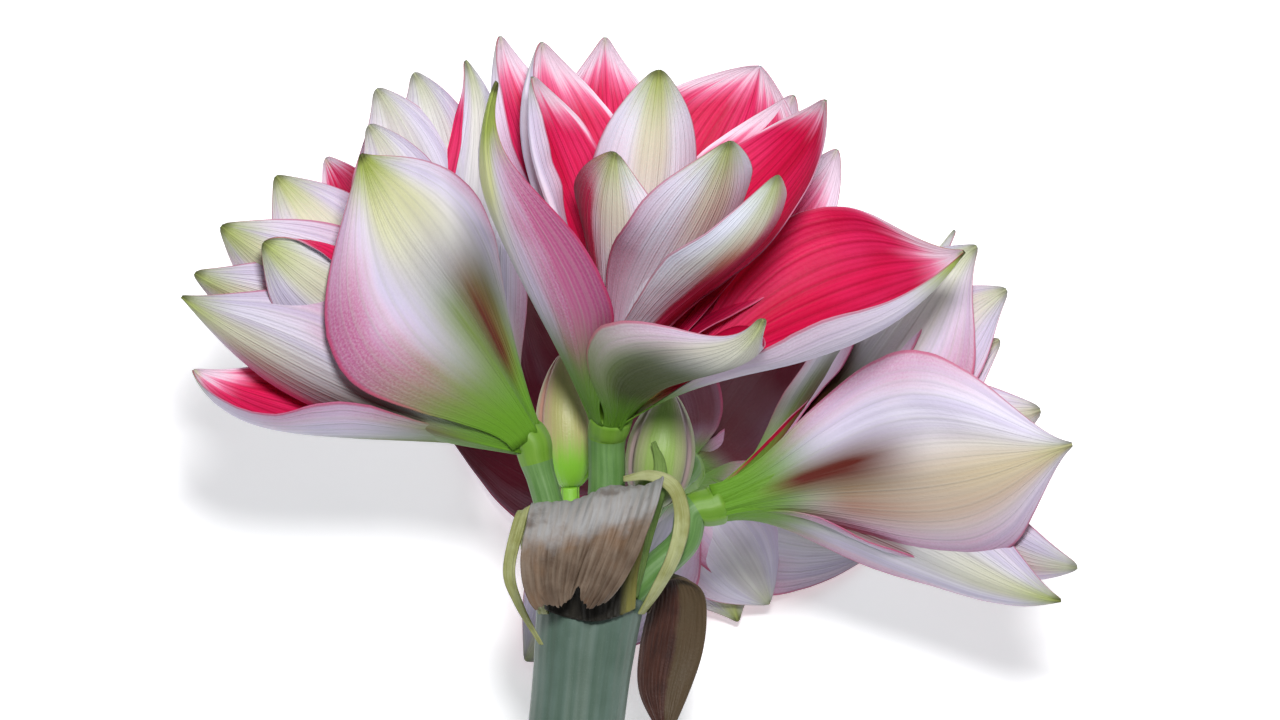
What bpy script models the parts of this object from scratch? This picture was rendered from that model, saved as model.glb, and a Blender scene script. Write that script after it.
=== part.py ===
"""Double amaryllis: one cut scape with four open blooms and two small buds, lying down.

Metres, +Z up. Every number below is in millimetres, in the flower's own frame:
X across, Y up the scape, Z out of its front, with the origin at the top of the scape.
An empty lays that frame down, with the cut end and the rear bloom on the surface.
"""
import math

import bmesh
import bpy
import numpy as np
from mathutils import Matrix, Vector

MM = 0.001
GAP = 0.3                # clear air between neighbouring pieces
BLADE = 0.9              # thickness of a petal
PAPER = 0.8              # thickness of a dry bract

# how the cut flower lies: turned about X, then about the scape
LAY_TURN = 18.0
LAY_ROLL = 0.0

SCAPE_LENGTH = 263.0
SCAPE_RADIUS = 14.5
SCAPE_TOP_RADIUS = 15.7
BORE_RADIUS = 9.0
BORE_DEPTH = 36.0

# petal kinds: ring they spring from, how far up it, narrow foot, outline powers,
# waved margin, cells along and across
KINDS = {
    "sepal": dict(ring=6.0, rise=0.0, claw=0.17, p=1.60, q=1.45, wave=1.2, waves=1.6, cells=(5, 4)),
    "petal": dict(ring=5.0, rise=2.0, claw=0.15, p=1.65, q=1.35, wave=1.8, waves=2.2, cells=(5, 4)),
    "petaloid": dict(ring=3.6, rise=6.0, claw=0.12, p=1.75, q=1.35, wave=1.5, waves=2.0, cells=(4, 2)),
}


def tepal(name, kind, tip, width, turn=10.0, lean=0.0, cup=0.8, spin=0.0, roll=0.0,
          bow=0.0, skew=0.0, root=1, hold=0.38, full=None, neck=None):
    """One petal: its tip and width, and in degrees how it leaves the tube and how its tip turns out.

    cup curls it across, spin and roll turn it about the flower and about itself, bow and skew shift
    it to one side, full is where it is widest and neck how slowly it widens from its foot.
    """
    return dict(name=name, kind=kind, tip=tip, width=width, turn=turn, lean=lean, cup=cup,
                spin=spin, roll=roll, bow=bow, skew=skew, root=root, hold=hold, full=full,
                neck=neck)


LEFT = dict(base=(-19.5, 49.2, 8.0), axis=(-0.72, 0.68, -0.12), petals=[
    tepal("L1", "sepal", (-68, 133, 40), 76, turn=36, lean=33, cup=0.95, skew=0.3, full=0.54),
    tepal("L2", "sepal", (-122, 91, 12), 54, turn=5, lean=40, cup=1.1, spin=15, full=0.56),
    tepal("L3", "petal", (-119, 69, 0), 54, turn=-8, lean=36, cup=1.2, roll=-38, full=0.58),
    tepal("L4", "petaloid", (-110, 112, 20), 40, spin=5, full=0.58),
    tepal("L5", "petaloid", (-97, 107, 40), 38, spin=-15, roll=15, full=0.6),
    tepal("L6", "petaloid", (-118, 98, 16), 34, turn=20, spin=20),
    tepal("L7", "petal", (-94, 127, 10), 46, spin=5, full=0.58),
    tepal("L8", "petaloid", (-80, 133, -32), 36, turn=20),
    tepal("L9", "petaloid", (-64, 153, 10), 40, spin=-50, turn=25),
    tepal("L10", "petaloid", (-66, 142, 22), 34, spin=-30, turn=20),
    tepal("L11", "petaloid", (-53, 158, 0), 40, spin=-55, turn=25),
    tepal("L12", "sepal", (-37.5, 162, -10), 42, turn=35, spin=-55),
    tepal("L13", "sepal", (-70, 112, -70), 54, turn=40),
    tepal("L14", "petal", (-100, 62, -50), 48, turn=50),
    tepal("L15", "petal", (-40, 126, -58), 46, turn=40),
])
FRONT = dict(base=(6.3, 55.5, 15.0), axis=(0.14, 0.83, 0.54), petals=[
    tepal("C1", "sepal", (-27, 153.5, 92), 62, turn=-16, lean=25, cup=1.2, roll=36, bow=5, full=0.42,
          neck=2.1),
    tepal("C2", "sepal", (51, 84, 100), 58, turn=14, lean=20, cup=1.3, roll=-26, bow=-5, neck=2.2,
          full=0.46),
    tepal("C3", "petal", (111, 104, 50), 76, turn=26, lean=44, cup=1.7, hold=0.36, roll=12, skew=0.3,
          neck=2.2, full=0.58),
    tepal("C4", "sepal", (51, 160, 5), 54, turn=20, full=0.62),
    tepal("C5", "petal", (4.5, 169, -12), 42, turn=20),
    tepal("C6", "petaloid", (-14.5, 167, 10), 40, turn=15, cup=0.9),
    tepal("C7", "petal", (-27, 169, 0), 34, turn=20),
    tepal("C8", "petaloid", (-17, 156, 38), 34, cup=1.0, spin=10),
    tepal("C9", "petaloid", (20.5, 157.5, 72), 30, turn=-15, cup=0.9, root=-1, full=0.62),
    tepal("C10", "petaloid", (7.8, 133, 80), 38, turn=-6, cup=0.9, full=0.6),
    tepal("C11", "petaloid", (41, 136, 97), 40, turn=0, cup=0.9, spin=-30, roll=30, full=0.62),
    tepal("C12", "petaloid", (55, 126, 98), 36, turn=-8, cup=0.9, spin=-30, roll=30, full=0.62),
    tepal("C13", "petaloid", (70, 149, 44), 40, turn=-5, cup=1.0, spin=0),
    tepal("C14", "petaloid", (61, 151, 12), 32),
    tepal("C15", "petal", (74, 135, 4), 40, turn=20),
])
RIGHT = dict(base=(39.0, 29.0, 3.0), axis=(0.93, 0.30, -0.20), petals=[
    tepal("R1", "sepal", (143.5, 47, 36), 72, cup=1.0, skew=0.2),
    tepal("R2", "petal", (116, 106, 4), 58, turn=30, spin=35),
    tepal("R3", "petaloid", (125, 93, 0), 38, turn=15, spin=35),
    tepal("R4", "petaloid", (123, 78, -6), 34, spin=20),
    tepal("R5", "petaloid", (135, 57, 4), 34),
    tepal("R6", "petaloid", (146, 10, 6), 34, turn=25, spin=-25),
    tepal("R7", "sepal", (141, 0, 8), 48, turn=40, cup=0.9, spin=-30),
    tepal("R8", "petaloid", (132, 26, -20), 40),
    tepal("R9", "petaloid", (110, 111, -24), 38, turn=30),
    tepal("R10", "sepal", (104, 58, -64), 50, turn=40),
    tepal("R11", "petal", (110, 2, -46), 48, turn=45),
    tepal("R12", "petal", (86, 94, -50), 48, turn=40),
])
BACK = dict(base=(28.0, 38.0, -34.0), axis=(0.0, -0.12, -0.99), petals=[
    tepal("B1", "sepal", (-48, 54, -118.5), 54, turn=58, cup=0.7),
    tepal("B2", "petal", (-20, -20, -86), 50, turn=62, cup=0.7),
    tepal("B3", "sepal", (45, -8, -92), 54, turn=62, cup=0.7),
    tepal("B4", "petal", (92, 16, -106), 52, turn=58, cup=0.7),
    tepal("B5", "sepal", (75, 100, -116), 54, turn=60, cup=0.7),
    tepal("B6", "petal", (-22, 94, -110), 64, turn=55, cup=0.7),
])
BACK_INNER = dict(count=5, flare=36, length=72, width=34, turn=35, start=20)
BACK_HEART = dict(count=3, flare=15, length=66, width=28, turn=10, start=50)


def unit(v):
    v = np.asarray(v, float)
    return v / np.linalg.norm(v, axis=-1, keepdims=True)


def whorl(flower, prefix, count, flare, length, width, turn, start):
    """Petaloids that stand in an even ring round the flower's axis."""
    axis = unit(flower["axis"])
    right = unit(np.array([1.0, 0.0, 0.0]) - axis * axis[0])
    up = np.cross(right, axis)
    tilt = math.radians(flare)
    for k in range(count):
        a = math.radians(start + 360 * k / count)
        way = math.cos(tilt) * axis + math.sin(tilt) * (math.cos(a) * right + math.sin(a) * up)
        tip = np.asarray(flower["base"]) + way * length * (1 + 0.06 * math.sin(5 * k + 1))
        flower["petals"].append(tepal(f"{prefix}{k + 1}", "petaloid", tuple(tip), width, turn=turn))


def petal_points(flower, petal, u, v):
    """Points of a petal for arrays u (foot 0 to tip 1) and v (one margin -1 to the other 1)."""
    kind = KINDS[petal["kind"]]
    axis = unit(flower["axis"])
    base = np.asarray(flower["base"], float)
    tip = np.asarray(petal["tip"], float)
    out = tip - base
    out = unit(out - axis * out.dot(axis)) * petal["root"]
    spin = math.radians(petal["spin"])
    out = out * math.cos(spin) + np.cross(axis, out) * math.sin(spin)
    start = base + out * kind["ring"] + axis * kind["rise"]
    length = np.linalg.norm(tip - start)
    lean, turn = math.radians(petal["lean"]), math.radians(petal["turn"])
    first = start + (math.cos(lean) * axis + math.sin(lean) * out) * petal["hold"] * length
    second = tip - (math.cos(turn) * axis + math.sin(turn) * out) * 0.34 * length
    t = u[..., None]
    s = 1 - t
    centre = s**3 * start + 3 * s**2 * t * first + 3 * s * t**2 * second + t**3 * tip
    along = unit(3 * s**2 * (first - start) + 6 * s * t * (second - first) + 3 * t**2 * (tip - second))
    flat = np.cross(axis, out)
    side = unit(flat - along * (along @ flat)[..., None])
    inward = np.cross(along, side)
    turned = np.radians(petal["roll"]) * t
    side, inward = (side * np.cos(turned) + inward * np.sin(turned),
                    inward * np.cos(turned) - side * np.sin(turned))
    rise_power = petal["neck"] or kind["p"]
    peak = petal["full"] or kind["p"] / (kind["p"] + kind["q"])
    fall_power = rise_power * (1 - peak) / peak
    outline = kind["claw"] * (1 - u) ** 2
    outline = outline + (u / peak) ** rise_power * ((1 - u) / (1 - peak)) ** fall_power
    half = petal["width"] / 2 * outline + 0.6
    open_up = np.clip(u * 2.5, 0, 1)
    open_up = open_up * open_up * (3 - 2 * open_up)
    arc = (0.75 + (petal["cup"] - 0.75) * open_up) * (1 - 0.25 * u)
    across = half * np.sin(arc * v) / arc * (1 + petal["skew"] * (2 * u - 1) * v)
    across = across + petal["bow"] * np.sin(math.pi * u)
    rise = half * (1 - np.cos(arc * v)) / arc
    phase = 0.7 * tip[0] + 1.3 * tip[1] + 0.9 * tip[2]
    ripple = np.sin(2 * math.pi * kind["waves"] * u + phase + 1.4 * np.sign(v))
    rise = rise + kind["wave"] * np.abs(v) ** 2.5 * ripple * np.sin(math.pi * u)
    return centre + side * across[..., None] + inward * rise[..., None]


def curve_points(stations, count):
    """Rows of numbers, eased from one station to the next."""
    rows = np.asarray(stations, float)
    rows = np.vstack([2 * rows[0] - rows[1], rows, 2 * rows[-1] - rows[-2]])
    spans = len(stations) - 1
    done = []
    for t in np.linspace(0, spans, count):
        i = min(int(t), spans - 1)
        f = t - i
        a, b, c, d = rows[i:i + 4]
        done.append(0.5 * (2 * b + (c - a) * f + (2 * a - 5 * b + 4 * c - d) * f**2
                           + (3 * b - a - 3 * c + d) * f**3))
    return np.array(done)


# the scene's own things go first
for old in list(bpy.data.objects):
    bpy.data.objects.remove(old, do_unlink=True)
model = bpy.data.collections.new("amaryllis")
cutters = bpy.data.collections.new("cutters")
bpy.context.scene.collection.children.link(model)
bpy.context.scene.collection.children.link(cutters)

lay = bpy.data.objects.new("flower_frame", None)
model.objects.link(lay)


def material(name, colour, roughness):
    made = bpy.data.materials.new(name)
    made.use_nodes = True
    shader = made.node_tree.nodes["Principled BSDF"]
    shader.inputs["Base Color"].default_value = (*colour, 1.0)
    shader.inputs["Roughness"].default_value = roughness
    shader.inputs["Metallic"].default_value = 0.0
    return made


def place(mesh, name, where=None):
    made = bpy.data.objects.new(name, mesh)
    (where or model).objects.link(made)
    return made


def finish(obj, colour, roughness):
    obj.parent = lay
    obj.data.materials.clear()
    obj.data.materials.append(material(obj.name + "_material", colour, roughness))
    obj.data.shade_smooth()
    obj.data.set_sharp_from_angle(angle=math.radians(40))
    return obj


def to_mesh(obj, name, weld=0.0):
    """Replaces an object, with its modifiers, by a plain mesh object."""
    bpy.context.view_layer.update()
    mesh = bpy.data.meshes.new_from_object(obj.evaluated_get(bpy.context.evaluated_depsgraph_get()))
    home = obj.users_collection[0]
    bpy.data.objects.remove(obj, do_unlink=True)
    if weld:
        bm = bmesh.new()
        bm.from_mesh(mesh)
        bmesh.ops.remove_doubles(bm, verts=bm.verts, dist=weld)
        bmesh.ops.recalc_face_normals(bm, faces=bm.faces)
        bm.to_mesh(mesh)
        bm.free()
    mesh.name = name
    return place(mesh, name, home)


def sheet(name, grid, thickness, where=None):
    """A thin blade: a grid of points, split alike on both faces, made solid."""
    rows, columns = grid.shape[:2]
    bm = bmesh.new()
    bmesh.ops.create_grid(bm, x_segments=rows - 1, y_segments=columns - 1, size=1.0)
    bm.verts.ensure_lookup_table()
    for vert in bm.verts:
        i = round((vert.co.x + 1) / 2 * (rows - 1))
        j = round((vert.co.y + 1) / 2 * (columns - 1))
        vert.co = Vector(grid[i, j] * MM)
    bmesh.ops.triangulate(bm, faces=bm.faces, quad_method="FIXED")
    mesh = bpy.data.meshes.new(name)
    bm.to_mesh(mesh)
    bm.free()
    made = place(mesh, name, where)
    solid = made.modifiers.new("thickness", "SOLIDIFY")
    solid.thickness = thickness * MM
    solid.offset = 0.0
    return to_mesh(made, name)


def tube(name, stations, where=None, rings=8, sides=12):
    """A round stalk: a curve through x, y, z, radius rows, made a closed mesh."""
    rows = curve_points(stations, rings)
    curve = bpy.data.curves.new(name, "CURVE")
    curve.dimensions = "3D"
    curve.bevel_depth = MM
    curve.bevel_resolution = sides // 4 - 1
    curve.use_fill_caps = True
    curve.twist_mode = "MINIMUM"
    spline = curve.splines.new("POLY")
    spline.points.add(len(rows) - 1)
    for point, (x, y, z, radius) in zip(spline.points, rows):
        point.co = (x * MM, y * MM, z * MM, 1.0)
        point.radius = radius
    return to_mesh(place(curve, name, where), name, weld=0.00002)


def swelling(name, centre, axis, length, profile, lobes=3, lobe=0.08, sides=15, rings=8, where=None):
    """A lobed body of revolution about an axis, from a sphere: ovary or bud heart."""
    bm = bmesh.new()
    bmesh.ops.create_uvsphere(bm, u_segments=sides, v_segments=rings, radius=1.0)
    turn = Vector((0, 0, 1)).rotation_difference(Vector(unit(axis)))
    for vert in bm.verts:
        x, y, z = vert.co
        ring = math.hypot(x, y)
        a = math.atan2(y, x)
        grow = profile(z) * (1 + lobe * math.cos(lobes * a))
        spot = Vector((ring * math.cos(a) * grow, ring * math.sin(a) * grow, z * length / 2))
        vert.co = (Vector(centre) + turn @ spot) * MM
    mesh = bpy.data.meshes.new(name)
    bm.to_mesh(mesh)
    bm.free()
    return place(mesh, name, where)


def trim(obj, point, normal):
    """Cuts off what lies beyond a plane and closes the cut."""
    bm = bmesh.new()
    bm.from_mesh(obj.data)
    cut = bmesh.ops.bisect_plane(bm, geom=bm.verts[:] + bm.edges[:] + bm.faces[:], dist=1e-7,
                                 plane_co=Vector(point) * MM, plane_no=Vector(normal), clear_outer=True)
    edges = [e for e in cut["geom_cut"] if isinstance(e, bmesh.types.BMEdge)]
    bmesh.ops.holes_fill(bm, edges=[e for e in bm.edges if e.is_boundary], sides=0)
    bmesh.ops.recalc_face_normals(bm, faces=bm.faces)
    bm.to_mesh(obj.data)
    bm.free()
    return len(edges)


def fuse(body, pieces, name, solver="MANIFOLD"):
    """Joins a piece with a collection's objects in one Boolean union, and fills what that seals."""
    union = body.modifiers.new("union", "BOOLEAN")
    union.operation = "UNION"
    union.solver = solver
    union.operand_type = "COLLECTION"
    union.collection = pieces
    done = to_mesh(body, name)
    for piece in list(pieces.objects):
        bpy.data.objects.remove(piece, do_unlink=True)
    bpy.data.collections.remove(pieces)
    bm = bmesh.new()
    bm.from_mesh(done.data)
    shells, seen = [], set()
    for vert in bm.verts:
        if vert in seen:
            continue
        shell, front = [vert], [vert]
        seen.add(vert)
        while front:
            for edge in front.pop().link_edges:
                for other in edge.verts:
                    if other not in seen:
                        seen.add(other)
                        shell.append(other)
                        front.append(other)
        shells.append(shell)
    shells.sort(key=len)
    bmesh.ops.delete(bm, geom=[v for shell in shells[:-1] for v in shell], context="VERTS")
    bmesh.ops.triangulate(bm, faces=bm.faces)
    bm.to_mesh(done.data)
    bm.free()
    return done


def group(name):
    made = bpy.data.collections.new(name)
    bpy.context.scene.collection.children.link(made)
    return made


def bloom(name, flower, colour, roughness, foot=6.0, throat=13.0, height=42.0):
    """Petals in their layers, their feet sunk in the tube that they share."""
    pieces = group(name + "_petals")
    base, axis = np.asarray(flower["base"]), unit(flower["axis"])
    for petal in flower["petals"]:
        along, across = KINDS[petal["kind"]]["cells"]
        u = 1 - (1 - np.linspace(0, 1, along + 1)) ** 1.25
        u, v = np.meshgrid(u, np.linspace(-1, 1, across + 1), indexing="ij")
        sheet(petal["name"], petal_points(flower, petal, u, v), BLADE, pieces)
    rows = [(*(base + axis * height * f), foot + (throat - foot) * f**0.7) for f in (0, 0.35, 0.7, 0.92)]
    rows.append((*(base + axis * height), throat * 0.45))
    core = tube(name, rows, rings=7, sides=12)
    return finish(fuse(core, pieces, name), colour, roughness)


def pedicel(name, flower, route, ovary, length=14.0):
    """A stalk and the three-lobed ovary on it, cut flat below the bloom and above the scape."""
    pieces = group(name + "_parts")
    base, axis = np.asarray(flower["base"]), unit(flower["axis"])
    centre = base - axis * (length * 0.42)
    swelling(name + "_ovary", centre, axis, length * 1.25,
             lambda z: ovary * (0.98 + 0.10 * z), where=pieces)
    stalk = tube(name, route + [(*(base - axis * length * 0.5), route[-1][3])], rings=7, sides=12)
    done = fuse(stalk, pieces, name)
    trim(done, base - axis * GAP, axis)
    trim(done, (0, GAP, 0), (0, -1, 0))
    return done


def strip(name, stations, thickness, along, across, tear=None, crinkle=0.0):
    """A ribbon or bract: rows of centre, half-width vector and sag, with a torn end."""
    u, v = np.meshgrid(np.linspace(0, 1, along + 1), np.linspace(-1, 1, across + 1), indexing="ij")
    reach = u if tear is None else u * (1 - tear(v))
    rows = curve_points(stations, 161)
    spot = reach * 160
    low = np.clip(spot.astype(int), 0, 159)
    part = (spot - low)[..., None]
    row = rows[low] * (1 - part) + rows[low + 1] * part
    centre, half, sag = row[..., 0:3], row[..., 3:6], row[..., 6:7]
    ahead = unit(np.gradient(centre, axis=0))
    face = unit(np.cross(half, ahead))
    fold = crinkle * (np.sin(9 * u + 4 * v) * 0.6 + np.sin(17 * v + 3 * u) * 0.4)[..., None]
    points = centre + half * v[..., None] - face * sag * v[..., None] ** 2 + face * fold
    return sheet(name, points, thickness)


# the scape, with the wet hollow that shows at its cut end
SCAPE_ROUTE = [
    (0.0, 0.0, 0.0, SCAPE_TOP_RADIUS), (-1.6, -14.0, 0.0, SCAPE_TOP_RADIUS - 0.4),
    (-4.0, -36.0, 0.0, SCAPE_RADIUS), (-12.0, -110.0, 0.0, SCAPE_RADIUS),
    (-18.0, -185.0, 0.0, SCAPE_RADIUS + 0.3), (-22.0, -SCAPE_LENGTH, 0.0, SCAPE_RADIUS + 0.8)]
scape = tube("scape", SCAPE_ROUTE, rings=12, sides=20)
trim(scape, (0, 0, 0), (0, 1, 0))
end = np.array(SCAPE_ROUTE[-1][:3])
way = unit(end - np.array(SCAPE_ROUTE[-2][:3]))
bpy.ops.mesh.primitive_cylinder_add(vertices=16, radius=BORE_RADIUS * MM, depth=2 * BORE_DEPTH * MM)
bore = bpy.context.object
bore.name = "bore"
for home in list(bore.users_collection):
    home.objects.unlink(bore)
cutters.objects.link(bore)
bore.matrix_world = (Matrix.Translation(Vector(end * MM))
                     @ Vector((0, 0, 1)).rotation_difference(Vector(way)).to_matrix().to_4x4())
bore.hide_render = True
bore.display_type = "WIRE"
cut = scape.modifiers.new("bore", "BOOLEAN")
cut.operation = "DIFFERENCE"
cut.object = bore
scape = finish(to_mesh(scape, "scape"), (0.20, 0.30, 0.22), 0.5)
bpy.data.objects.remove(bore, do_unlink=True)

# the stalks and their ovaries
whorl(BACK, "b", **BACK_INNER)
whorl(BACK, "h", **BACK_HEART)
STALKS = {
    "pedicel_left": (LEFT, 6.0, [(-8.6, -1.5, 3.0, 4.4), (-10.2, 14, 5.0, 4.3), (-12.0, 28, 7.0, 4.4)]),
    "pedicel_front": (FRONT, 7.3, [(1.2, -1.5, 8.8, 5.5), (3.6, 18, 8.4, 5.5), (5.0, 34, 7.6, 5.6)]),
    "pedicel_right": (RIGHT, 6.6, [(6.6, -6.0, 2.2, 4.7), (10.8, 1.0, 2.4, 4.7), (19.0, 9.0, 3.4, 4.7),
                                   (28.0, 17.5, 4.0, 4.8)]),
    "pedicel_back": (BACK, 6.8, [(3.0, -1.5, -10.0, 4.7), (9.0, 14, -15.5, 4.7), (18.5, 29, -20.0, 4.8)]),
}
for name, (flower, ovary, route) in STALKS.items():
    finish(pedicel(name, flower, route, ovary), (0.16, 0.36, 0.08), 0.45)

# the open blooms
bloom("bloom_left", LEFT, (0.80, 0.62, 0.66), 0.5, foot=5.6, throat=13.0)
bloom("bloom_front", FRONT, (0.80, 0.55, 0.60), 0.5, foot=6.6, throat=13.5)
bloom("bloom_right", RIGHT, (0.80, 0.62, 0.66), 0.5, foot=6.2, throat=13.0)
bloom("bloom_back", BACK, (0.70, 0.50, 0.62), 0.5, foot=6.2, throat=13.0)

# two buds that stayed closed: three valves meet in grooves, on a short stalk
BUDS = {
    "bud_left": ((-6.0, 33.0, -8.5), (-0.05, 1.0, 0.02), 41.0, 8.8,
                 [(-5.4, -1.5, -6.6, 2.5), (-5.6, 16, -8.0, 2.6)]),
    "bud_right": ((19.0, 27.5, -1.5), (0.13, 0.98, 0.12), 36.0, 9.6,
                  [(9.2, -1.5, -7.0, 2.4), (14.0, 12, -7.0, 2.5)]),
}


def bud_profile(radius):
    """Widest below the middle, drawn out to a blunt point; z runs from -1 to 1."""
    return lambda z: radius * (1.03 - 0.14 * z - 0.22 * max(z, 0.0) ** 2)


for name, (base, axis, length, radius, route) in BUDS.items():
    base, axis = np.asarray(base), unit(axis)
    pieces = group(name + "_parts")
    swelling(name + "_valves", base + axis * length * 0.5, axis, length, bud_profile(radius),
             lobe=0.10, sides=18, rings=9, where=pieces)
    stalk = tube(name, route + [(*(base + axis * 4), 3.0)], rings=6, sides=8)
    done = fuse(stalk, pieces, name)
    trim(done, (0, GAP, 0), (0, -1, 0))
    finish(done, (0.45, 0.52, 0.22), 0.5)

# the two withered bracts that once wrapped the head
SPATHE = [
    (0.5, -5.0, 17.7, 12.0, 0.0, 0.0, 5.4), (0.5, 8.0, 18.9, 14.0, 1.0, 0.0, 5.0),
    (1.5, 24.0, 20.0, 17.0, 3.0, 0.0, 3.0), (2.5, 32.0, 25.0, 19.5, 4.0, 0.0, 1.0),
    (2.0, 27.0, 32.0, 19.5, 4.5, 0.0, 1.5), (-0.5, 15.0, 34.0, 16.5, 3.5, 0.0, 3.0),
    (-3.5, 4.0, 31.0, 11.0, 2.0, 0.0, 3.5), (-5.0, -3.0, 28.0, 5.0, 1.0, 0.0, 2.0)]
finish(strip("spathe_front", SPATHE, PAPER, 16, 8, crinkle=0.5,
             tear=lambda v: 0.05 + 0.06 * np.abs(np.sin(4.2 * v + 0.6)) ** 0.7), (0.36, 0.27, 0.22), 0.7)
HANGING = [
    (15.1, -3.5, -5.0, 1.9, 0.0, 4.6, 1.0), (18.6, 4.0, -8.0, 3.0, 1.4, 5.4, 0.5),
    (23.5, 9.0, -11.0, 5.0, -3.0, 4.4, 0.0), (26.0, 1.0, -13.5, 8.0, -1.0, 3.4, -1.5),
    (24.0, -14.0, -15.5, 9.6, 0.0, 2.4, -3.0), (21.8, -28.0, -16.5, 7.4, 0.0, 1.6, -2.5),
    (22.5, -42.0, -16.5, 0.8, 0.0, 0.3, -0.3)]
finish(strip("spathe_hanging", HANGING, PAPER, 14, 6, crinkle=0.4), (0.22, 0.13, 0.09), 0.7)

# thin bracteoles that stand and curl among the stalks
finish(strip("bracteole_left", [
    (-13.8, -4.0, 9.7, 1.4, 0.0, 1.8, 0.0), (-18.6, 14.0, 12.5, 1.8, 0.0, 1.4, 0.3),
    (-19.2, 27.0, 14.5, 1.7, 1.0, 1.2, 0.3), (-21.4, 22.0, 18.5, 1.7, -0.8, 1.0, 0.3),
    (-24.0, 9.0, 19.0, 1.7, 0.0, 1.0, 0.3), (-21.0, -1.0, 17.5, 1.5, -0.6, 1.0, 0.2),
    (-14.5, -13.0, 16.0, 0.6, 0.0, 0.4, 0.0)], PAPER, 16, 2), (0.36, 0.38, 0.16), 0.6)
finish(strip("bracteole_right", [
    (15.3, -4.0, 6.0, 0.9, 0.0, -2.2, 0.0), (20.6, 4.0, 11.5, 1.6, -0.4, -2.0, 0.3),
    (25.5, 14.0, 15.5, 2.2, 0.0, -1.2, 0.4), (27.6, 25.0, 16.0, 2.3, 0.4, -0.6, 0.4),
    (25.0, 34.0, 16.0, 1.4, 1.8, -0.4, 0.3), (18.0, 37.5, 17.0, 0.2, 1.6, -0.4, 0.2),
    (10.0, 36.5, 18.0, 0.0, 0.7, -0.2, 0.0)], PAPER, 16, 2), (0.42, 0.48, 0.26), 0.6)
finish(strip("bracteole_tip", [
    (13.2, GAP + 0.6, 10.2, 1.0, 0.0, -1.0, 0.0), (16.8, 18.0, 11.6, 1.8, 0.0, -1.2, 0.2),
    (20.6, 33.0, 12.6, 2.2, 0.3, -1.0, 0.4), (21.0, 41.0, 12.8, 1.6, 0.4, -0.6, 0.3),
    (19.0, 47.5, 14.0, 0.5, 0.2, -0.1, 0.0)], PAPER, 10, 2), (0.22, 0.30, 0.12), 0.6)

# laid down, with the box's centre over the origin and its lowest point on the surface
turn = Matrix.Rotation(math.radians(LAY_TURN), 4, "X") @ Matrix.Rotation(math.radians(LAY_ROLL), 4, "Y")
lay.matrix_world = turn
bpy.context.view_layer.update()
corners = np.array([list(obj.matrix_world @ vert.co)
                    for obj in model.objects if obj.type == "MESH" for vert in obj.data.vertices])
low, high = corners.min(axis=0), corners.max(axis=0)
shift = Vector((-(low[0] + high[0]) / 2, -(low[1] + high[1]) / 2, -low[2]))
lay.matrix_world = Matrix.Translation(shift) @ turn
bpy.context.view_layer.update()
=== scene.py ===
# %% [markdown]
# # A cut double amaryllis
# One thick, hollow flower stalk (the scape) was cut and laid down. At its top four large double
# blooms stand on short green stalks, with two small closed buds, two withered bracts and three
# thin curling bracteoles between them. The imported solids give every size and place. Here each
# of them gets the form and finish that show in close view.

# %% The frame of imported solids
import math

import bmesh
import bpy
import numpy as np
from mathutils import Matrix, Vector


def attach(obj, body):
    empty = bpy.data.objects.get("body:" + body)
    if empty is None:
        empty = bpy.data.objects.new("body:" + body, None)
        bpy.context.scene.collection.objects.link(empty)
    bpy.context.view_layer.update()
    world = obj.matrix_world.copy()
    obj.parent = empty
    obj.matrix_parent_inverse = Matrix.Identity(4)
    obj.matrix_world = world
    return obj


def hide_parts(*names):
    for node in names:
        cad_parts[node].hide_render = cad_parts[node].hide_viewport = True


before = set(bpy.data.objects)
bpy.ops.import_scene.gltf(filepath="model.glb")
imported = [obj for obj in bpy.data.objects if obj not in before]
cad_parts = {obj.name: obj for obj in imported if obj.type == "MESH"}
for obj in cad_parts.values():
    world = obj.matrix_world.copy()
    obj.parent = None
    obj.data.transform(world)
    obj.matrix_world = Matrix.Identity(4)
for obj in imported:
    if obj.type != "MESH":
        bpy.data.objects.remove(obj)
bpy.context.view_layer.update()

# %% [markdown]
# ## Two frames
# It is easier to think of a flower upright: X across, Y up the scape and Z towards the viewer,
# in millimetres, with the origin where the stalks leave the scape. One matrix then lays that
# upright flower down on the table, just as the solids lie. Every mesh below is made in the
# upright frame and carried over once, so each object itself stays at the origin.

# %% Upright flower to table
LAY_TURN = math.radians(18.0)
LAY_SHIFT = Vector((-0.0118852295, 0.0451350734, 0.0965657830))
TABLE = Matrix.Translation(LAY_SHIFT) @ Matrix.Rotation(LAY_TURN, 4, "X") @ Matrix.Scale(0.001, 4)
print("scape top sits at", tuple(round(c, 4) for c in TABLE @ Vector((0, 0, 0))))

# %% [markdown]
# ## Camera, table and light
# The flower is seen straight from its front, with a flash near the lens. A long lens from four
# metres gives the same flat perspective. The flower lies down, so the same line of sight now
# looks steeply down on it. A small bright lamp stands a little above the camera for the flash,
# a broad weak one fills from the flower's upper side, and a pale world does the rest.

# %% Camera
VIEW_CENTRE = Vector((15.0, 72.0, 0.0))
VIEW_DISTANCE = 4000.0
VIEW_WIDTH = 384.0
SENSOR_WIDTH = 36.0
camera = bpy.data.objects.new("camera", bpy.data.cameras.new("camera"))
bpy.context.scene.collection.objects.link(camera)
camera.data.sensor_width = SENSOR_WIDTH
camera.data.lens = SENSOR_WIDTH * VIEW_DISTANCE / VIEW_WIDTH
camera.data.clip_end = 50.0
eye = TABLE @ (VIEW_CENTRE + Vector((0, 0, VIEW_DISTANCE)))
camera.matrix_world = Matrix.Translation(eye) @ Matrix.Rotation(LAY_TURN, 4, "X")
bpy.context.scene.camera = camera
print("camera at", tuple(round(c, 3) for c in eye))

# %% Soft lamps


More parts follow.
